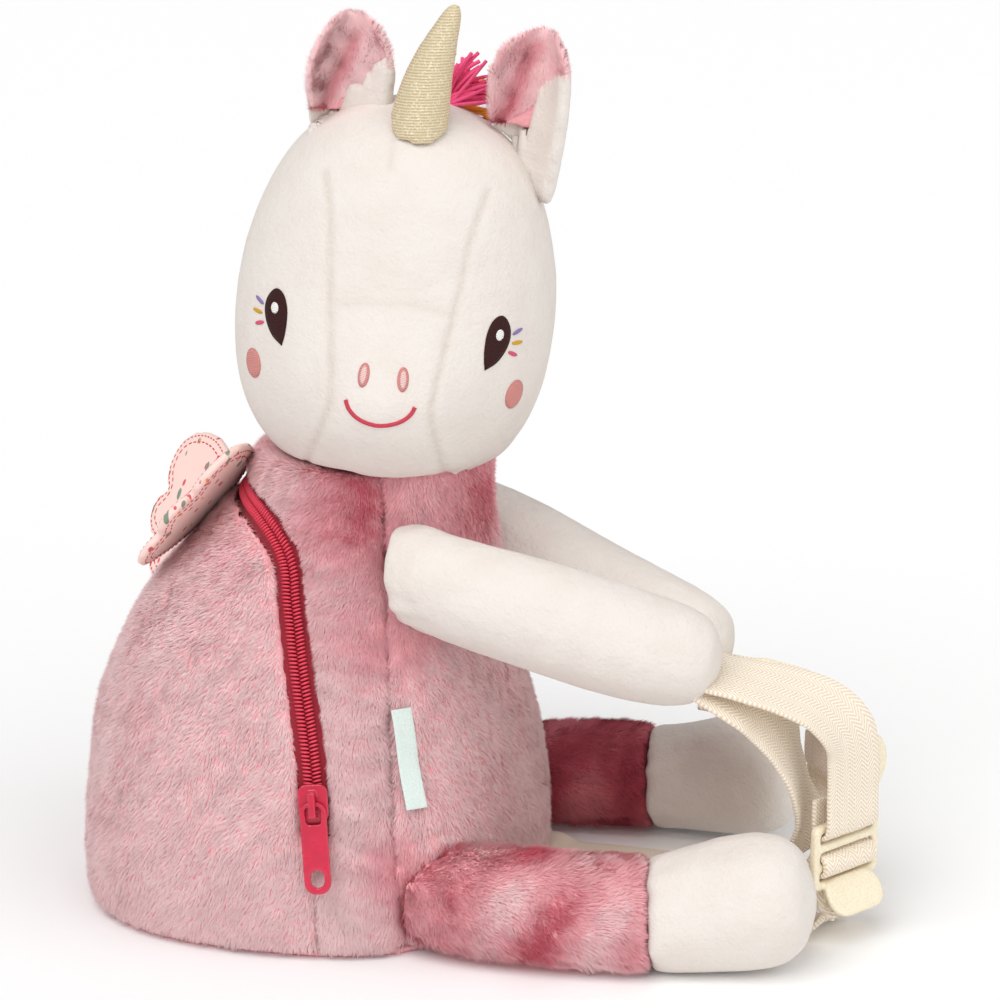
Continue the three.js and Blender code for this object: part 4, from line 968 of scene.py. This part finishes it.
def oval(x, z, wide, high, lean=0.0, count=28):
    turn = np.linspace(0, 2 * math.pi, count, endpoint=False)
    across, up = wide / 2 * np.cos(turn), high / 2 * np.sin(turn)
    c, s = math.cos(math.radians(lean)), math.sin(math.radians(lean))
    return np.column_stack([x + across * c - up * s, z + across * s + up * c])


EYE_MIDDLE = (36.7, 64.2)
EYE_SHIFT = -1.2
EYE_SIZE = 0.93
EYE_OUTLINE = [  # from the low inner tip, round the outer side and back; outer is positive
    (-3.2, -9.6), (0.6, -7.2), (3.3, -3.2), (4.5, 1.2), (4.0, 5.2), (2.2, 8.4), (0.2, 9.4),
    (-2.2, 7.6), (-3.7, 3.6), (-4.1, -0.8), (-3.9, -5.4), (-3.2, -9.6),
]
LASHES = [  # name, inner end and outer end from the eye's middle
    ("lash_lilac", 4.9, 2.2, 7.9, 3.9),
    ("lash_amber", 5.0, -0.7, 8.4, -0.6),
    ("lash_pink", 4.1, -3.4, 7.1, -5.0),
]
LASH_COLORS = {
    "lash_lilac": tone(150, 132, 190), "lash_amber": tone(232, 178, 52), "lash_pink": tone(236, 98, 130),
}
eye_satin = satin("eye_satin", tone(58, 24, 22), 0.7 * MM)
shine_satin = satin("shine_satin", tone(252, 250, 246), 0.7 * MM)
blush_satin = satin("blush_satin", tone(224, 150, 144), 0.7 * MM)
nose_satin = satin("nose_satin", tone(226, 148, 144), 0.7 * MM)
nose_light = satin("nose_light", tone(246, 208, 202), 0.7 * MM)
smile_satin = satin("smile_satin", tone(214, 74, 92), 0.7 * MM)
lash_satins = {name: satin(name, color, 0.5 * MM) for name, color in LASH_COLORS.items()}

for side, word in ((-1, "right"), (1, "left")):
    eye_x = side * EYE_MIDDLE[0] + EYE_SHIFT
    eye = curve_through(EYE_OUTLINE, 45)[:-1] * [side * EYE_SIZE, EYE_SIZE] + [eye_x, EYE_MIDDLE[1]]
    patch(f"eye_{word}", eye[::side], 0.7, eye_satin)
    shine = oval(eye_x + side * 0.2, EYE_MIDDLE[1] + 2.5, 2.4, 3.5)
    patch(f"eye_shine_{word}", shine, 0.3, shine_satin, base=0.75)
    patch(f"cheek_{word}", oval(side * 43.8 - 0.6, 45.6, 5.4, 10.0, side * -6), 0.5, blush_satin)
    patch(f"nostril_{word}", oval(side * 6.4, 52.3, 3.5, 7.6, side * 4), 0.5, nose_satin)
    patch(f"nostril_light_{word}", oval(side * 6.4, 52.3, 1.8, 5.6, side * 4), 0.3, nose_light, base=0.5)
    for name, x0, z0, x1, z1 in LASHES:
        middle = (eye_x + side * (x0 + x1) / 2, EYE_MIDDLE[1] + (z0 + z1) / 2)
        lean = math.degrees(math.atan2(z1 - z0, side * (x1 - x0)))
        lash = oval(*middle, math.hypot(x1 - x0, z1 - z0), 1.15, lean, 12)
        patch(f"{name}_{word}", lash, 0.4, lash_satins[name])

# %% [markdown]
# The smile is one line of satin stitch. It is a round thread laid on a curve through a few points, half
# sunk in the nap.


# %% Smile and threads
def thread_on_head(name, pairs, radius, finish, count=40, sink=0.0):
    line = curve_through(pairs, count)
    curve = bpy.data.curves.new(name, "CURVE")
    curve.dimensions = "3D"
    curve.bevel_depth = radius
    curve.bevel_resolution = 3
    curve.use_fill_caps = True
    spline = curve.splines.new("POLY")
    spline.points.add(count - 1)
    for point, (x, z) in zip(spline.points, line):
        point.co = (*on_head(x, z, -sink), 1)
    piece = bpy.data.objects.new(name, curve)
    bpy.context.scene.collection.objects.link(piece)
    activate(piece)
    bpy.ops.object.convert(target="MESH")
    return dress(bpy.context.object, finish, "velour_cream")


SMILE = [
    (-11.4, 43.6), (-10.2, 41.0), (-7.6, 38.6), (-4.0, 37.2), (0, 36.8),
    (4.0, 37.4), (7.6, 38.9), (10.2, 41.3), (11.3, 43.8),
]
thread_on_head("smile", SMILE, 0.75 * MM, smile_satin, sink=0.1 * MM)

# %% [markdown]
# The horn is a stuffed cone of gold knit.

# %% Horn
horn = stuffed("horn", "horn_knit", 1.3 * MM, 6, limit=0.5 * MM)
dress(horn, gold_knit, "horn_knit", "horn", fill=0.9)

# %% [markdown]
# Each ear is a cupped leaf: smooth velour outside and rose pile inside. The velour is folded over the
# lower front edge. This hem is a second copy of the lining, cut along a slanted plane and swelled until
# it lies over the first. A deep fold runs down the lining to its lowest point, and the pile parts there.

# %% Ears
HEM_LOW = (0.2, 0.0)  # shares of the lining's width and height
HEM_HIGH = (1.0, 0.54)
CREASE_LOW = (0.2, 0.0)
CREASE_HIGH = (0.52, 0.74)
CREASE_DEPTH = 1.8 * MM
EAR_FIBRES = 13000
EAR_PILE = 2.6 * MM


def cut_above(piece, place, normal):
    bisect = dict(plane_co=place, plane_no=normal, use_fill=True, clear_inner=True)
    in_edit_mode(piece, lambda: bpy.ops.mesh.bisect(**bisect))


def line_gap(flat, low, high):
    """Distance of flat places from a line, positive on its right, and the share of the way along it."""
    way = (high - low) / np.linalg.norm(high - low)
    away = flat - low
    return away[:, 0] * way[1] - away[:, 1] * way[0], away @ way / np.linalg.norm(high - low)


def line_bits(box, share):
    return box[0] + (box[1] - box[0]) * np.array(share)


def seat_on_head(piece, depth, reach):
    """Carries the lowest part of a piece down to the head."""
    rows = point_rows(piece)
    height = in_head(rows)[:, 2]
    near = np.clip(1 - (height - height.min()) / reach, 0, 1)
    move_points(piece, rows - from_head[:3, 2] * (near * depth)[:, None])


# pale is lower for the left ear on the far side: painted shade on the same rose plush.
for side, seed, pale in (("right", 51, 1.0), ("left", 67, 0.82)):
    outer = soft_copy(f"ear_{side}_outer", f"ear_{side}_velour", 1.0 * MM, 5)
    seat_on_head(outer, 4.5 * MM, 14 * MM)
    dress(outer, cream_velour, "velour_cream", f"ear_{side}_outer", fill=0.4)
    lining = soft_copy(f"ear_{side}_lining", f"ear_{side}_plush", 1.0 * MM, 5)
    flat = in_head(point_rows(lining))[:, [0, 2]]
    box = np.array([flat.min(0), flat.max(0)])
    low, high, crease_low, crease_high = (
        line_bits(box, share) for share in (HEM_LOW, HEM_HIGH, CREASE_LOW, CREASE_HIGH)
    )
    place = head_frame @ Vector((low[0], 0, low[1]))
    normal = Vector(from_head[:3, :3] @ np.array([high[1] - low[1], 0, low[0] - high[0]]))
    hem = soft_copy(f"ear_{side}_lining", f"ear_{side}_hem", 1.0 * MM, 5)
    cut_above(hem, place, normal)
    modify(hem, "REMESH", mode="VOXEL", voxel_size=0.9 * MM)
    modify(hem, "SMOOTH", factor=0.5, iterations=6)
    modify(hem, "DISPLACE", strength=1.6 * MM, mid_level=0)
    lowest = in_head(point_rows(hem))[:, 2].min() - in_head(point_rows(outer))[:, 2].min()
    seat_on_head(hem, max(lowest, 0) + 1 * MM, 16 * MM)
    dress(hem, cream_velour, "velour_cream", fill=0.4)
    gap, share = line_gap(in_head(point_rows(lining))[:, [0, 2]], crease_low, crease_high)
    hollow = CREASE_DEPTH * np.exp(-((gap / (2.6 * MM)) ** 2)) * np.clip((1.2 - share) * 4, 0, 1)
    move_points(lining, point_rows(lining) + from_head[:3, 1] * hollow[:, None])
    dress(lining, rose_ground, "plush_rose", f"ear_{side}_lining", fill=0.4)

    def parted(rows):
        gap, _ = line_gap(in_head(rows)[:, [0, 2]], crease_low, crease_high)
        return from_head[:3, 2] + from_head[:3, 0] * np.clip(gap / (4 * MM), -1, 1)[:, None] * 0.8

    def ear_tone_and_crease_shade(rows):
        gap, share = line_gap(in_head(rows)[:, [0, 2]], crease_low, crease_high)
        crease_shade = np.exp(-((gap / (2.6 * MM)) ** 2)) * np.clip((1.25 - share) * 3, 0, 1)
        # The pile is painted darker along the crease: painted shade in the fold.
        return pale - 0.5 * crease_shade + 0.07 * waves(rows, 18 * MM, seed)

    def on_front(places, facing):
        above, _ = line_gap(in_head(places)[:, [0, 2]], low, high)
        return (above < 0.4 * MM) & (facing @ from_head[:3, 1] < 0.3)

    fur = grow_pile(
        f"ear_{side}_pile", lining, EAR_FIBRES, EAR_PILE, PILE_WIDTH, parted, seed, on_front, ear_tone_and_crease_shade,
        lean=1.05,
    )
    dress(fur, rose_pile, "plush_rose")

# %% [markdown]
# The mane is brushed yarn in tufts. Each strand is its own curved thread that starts at the tuft's root
# and fans out, so that the ends stay loose and uneven.

# %% Mane
HEAD_WIDTH = 110
HEAD_DEPTH = 108
HEAD_HEIGHT = 136
TUFT_LENGTH = 23
TUFT_SPREAD = 84
STRANDS = 58
STRAND_RADIUS = 0.68 * MM
TUFTS = [  # node, slot, back, height, lean aside, lean back, length
    ("mane_tuft_pink_top", "yarn_pink", 0.03, 0.985, 28, 12, 1.0),
    ("mane_tuft_orange", "yarn_orange", 0.13, 0.965, 44, 34, 0.85),
    ("mane_tuft_lilac", "yarn_lilac", 0.29, 0.91, 30, 62, 0.9),
    ("mane_tuft_pink_low", "yarn_pink", 0.42, 0.76, 10, 94, 0.95),
]


def strand_course(root, aside, lean, reach, random):
    spread = math.radians(aside + random.uniform(-0.5, 0.5) * TUFT_SPREAD)
    fore = math.radians(lean + random.uniform(-18, 20))
    way = np.array([math.sin(spread), math.cos(spread) * math.sin(fore), math.cos(spread) * math.cos(fore)])
    length = reach * random.uniform(0.88, 1.16)
    start = root + random.uniform(-1, 1, 3) * 2.0 - way * 2
    curl = random.normal(scale=1.0, size=3)
    steps = np.linspace(0, 1, 8)[:, None]
    droop = np.array([0, 0, -0.16]) * length * steps**2
    return start + way * steps * length + curl * np.sin(steps * 3.0) + droop


for tuft, (node, slot, back, height, aside, lean, length) in enumerate(TUFTS):
    random = np.random.default_rng(80 + tuft)
    root = np.array([HEAD_WIDTH * 0.07, HEAD_DEPTH * back, HEAD_HEIGHT * height])
    curve = bpy.data.curves.new(node, "CURVE")
    curve.dimensions = "3D"
    curve.bevel_depth = STRAND_RADIUS
    curve.bevel_resolution = 1
    curve.use_fill_caps = True
    for _ in range(STRANDS):
        rows = strand_course(root, aside, lean, TUFT_LENGTH * length, random) * MM
        world_rows = rows @ from_head[:3, :3].T + from_head[:3, 3]
        spline = curve.splines.new("POLY")
        spline.points.add(len(rows) - 1)
        for point, place in zip(spline.points, world_rows):
            point.co = (*place, 1)
    piece = bpy.data.objects.new(node.replace("mane_tuft", "mane_yarn"), curve)
    bpy.context.scene.collection.objects.link(piece)
    activate(piece)
    bpy.ops.object.convert(target="MESH")
    dress(bpy.context.object, yarn_finishes[slot], slot, node)

# %% [markdown]
# Arms and feet are the same velour as the head. The legs' upper halves are plush in rose; the far one
# takes a darker copy of the rose as painted shade.

# %% Limbs
LIMB_VOXEL = 2.8 * MM
PUCKER_DEPTH = 0.7 * MM
THIGH_FIBRES = 44000


def pucker(piece, seam, reach):
    """Small folds that run away from a sewn edge, deepest at the edge."""
    rows = point_rows(piece)
    near = np.exp(-(((rows - np.array(seam) * MM)[:, 1] / (reach * MM)) ** 2))
    turn = np.arctan2(rows[:, 2] - rows[:, 2].mean(), rows[:, 0] - rows[:, 0].mean())
    ripple = np.sin(turn * 9 + waves(rows, 30 * MM, 13) * 2) * 0.5 + waves(rows, 12 * MM, 17) * 0.4
    move_points(piece, rows + point_rows(piece, "normal") * (ripple * near * PUCKER_DEPTH)[:, None])


def thigh_tone_and_painted_shade(rows):
    # Random tone in patches; the spot is painted shade where the thigh meets the body.
    return 0.56 + 0.3 * waves(rows, 26 * MM, 21) - 0.25 * spot(rows, (-70, -60, 30), 14)


def brushed_out(rows):
    return np.tile([0, -0.9, -0.4], (len(rows), 1))


def not_under(places, facing):
    return facing[:, 2] > -0.8


ROOTS = {  # where each limb is sewn on
    "arm_right": (0, -45, 0), "arm_left": (0, -45, 0), "foot_right": (0, -126, 0), "foot_left": (0, -104, 0),
}
for side, seed in (("right", 101), ("left", 127)):
    for limb in ("arm", "foot"):
        node = f"{limb}_{side}"
        piece = stuffed(node, node + "_velour", LIMB_VOXEL, 5)
        pucker(piece, ROOTS[node], 14)
        dress(piece, cream_velour, "velour_cream", node, fill=0.8)
    # The left leg lies on the far side; deep picks the darker copy of the rose for it: painted shade.
    deep = side == "left"
    slot = "plush_deep_rose" if deep else "plush_rose"
    thigh = stuffed(f"thigh_{side}", f"thigh_{side}_plush", LIMB_VOXEL, 5)
    dress(thigh, shaded_rose_ground if deep else rose_ground, slot, f"thigh_{side}", fill=0.8)
    fur = grow_pile(
        f"thigh_{side}_pile", thigh, THIGH_FIBRES, PILE_LENGTH * 1.1, PILE_WIDTH, brushed_out, seed,
        not_under, thigh_tone_and_painted_shade,
    )
    dress(fur, shaded_rose_pile if deep else rose_pile, slot)


# %% [markdown]
# The wings are two leaves of printed cotton, lightly quilted, with a running stitch inside the edge. The
# print is a generic scatter of dashes, leaves and dots.


# %% Wings
MOTIFS = [  # spacing in millimetres, size as a share of it, ink
    (5.0, 0.2, tone(216, 92, 100)), (9.0, 0.2, tone(132, 146, 128)), (9.5, 0.13, tone(240, 160, 90)),
]


def print_finish():
    finish = Finish("wing_print", tone(250, 214, 206), 0.85, Sheen_Weight=0.1)
    places = finish.places()
    color = tone(250, 216, 208)
    for number, (size, reach, ink) in enumerate(MOTIFS):
        mapped = finish.node(
            "ShaderNodeMapping", {},
            {"Vector": places, "Location": (0.013 * number,) * 3,
             "Rotation": (0.7 * number, 0.5, 0.9 * number), "Scale": (1.0, 1.0 + 0.6 * number, 0.55)},
        ).outputs[0]
        cells = finish.node("ShaderNodeTexVoronoi", {}, {"Vector": mapped, "Scale": 1 / (size * MM)})
        spot = 1 - Signal(finish, cells.outputs["Distance"]).step(reach * 0.8, reach)
        color = finish.mix(spot, color, ink)
    finish.set("Base Color", color)
    finish.bump(finish.noise(0.4 * MM, 2), 0.08 * MM)
    return finish


wing_print = print_finish()
wing_thread = satin("wing_thread", tone(222, 92, 92), 0.6 * MM)


def front_outline(node):
    """The outline of a flat leaf's front face and its facing."""
    probe = copy_of(node, node + "_outline")
    activate(probe)
    in_edit_mode(probe, lambda: bpy.ops.mesh.dissolve_limited(angle_limit=math.radians(1)))
    largest = max(probe.data.polygons, key=lambda polygon: polygon.area)
    outline = np.array([probe.data.vertices[index].co for index in largest.vertices])
    facing = np.array(largest.normal)
    bpy.data.objects.remove(probe)
    return outline, facing


def inset_outline(outline, facing, depth, count):
    closed = np.vstack([outline, outline[:1]])
    steps = np.linalg.norm(np.diff(closed, axis=0), axis=1)
    run = np.concatenate([[0], np.cumsum(steps)])
    even = np.linspace(0, run[-1], count, endpoint=False)
    loop = np.column_stack([np.interp(even, run, column) for column in closed.T])
    for _ in range(3):
        along = unit(np.roll(loop, -1, axis=0) - np.roll(loop, 1, axis=0))
        loop = loop + np.cross(facing, along) * depth / 3
        loop = (np.roll(loop, 1, axis=0) + 2 * loop + np.roll(loop, -1, axis=0)) / 4
    return np.vstack([loop, loop[:1]])


for side in ("right", "left"):
    node = f"wing_{side}"
    wing = soft_copy(node, node + "_cotton", 1.0 * MM, 3)
    plump(wing, 3.0, 0.8 * MM)
    dress(wing, wing_print, "wing_print", node, fill=0.3)
    outline, facing = front_outline(node)
    skin = BVHTree.FromObject(wing, bpy.context.evaluated_depsgraph_get())
    for face, depth, stitch in (("front", 0.9 * MM, 1.5 * MM), ("front_inner", 3.4 * MM, 2.2 * MM)):
        for sign, word in ((1, ""), (-1, "_back")):
            loop = inset_outline(outline, facing, depth, 90)
            hits = [skin.ray_cast(Vector(at + facing * sign * 0.02), Vector(-facing * sign)) for at in loop]
            places = np.array([hit[0] or Vector(at) for hit, at in zip(hits, loop)])
            out = np.tile(facing * sign, (len(places), 1))
            threads = thread_row(f"{node}_thread_{face}{word}", places, out, stitch, 0.7 * MM, 0.6 * MM)
            dress(threads, wing_thread, "wing_print")

# %% [markdown]
# The floor is a plain pale sheet that takes the soft shadow. It isn't part of the object.

# %% Floor
FLOOR_SIZE = 12
bpy.ops.mesh.primitive_plane_add(size=FLOOR_SIZE, location=(0, 0, 0))
floor = bpy.context.object
floor.name = "floor"
paper = Finish("paper", tone(252, 252, 252), 0.9, Emission_Color=(1, 1, 1, 1), Emission_Strength=0.02)
floor.data.materials.append(paper.material)
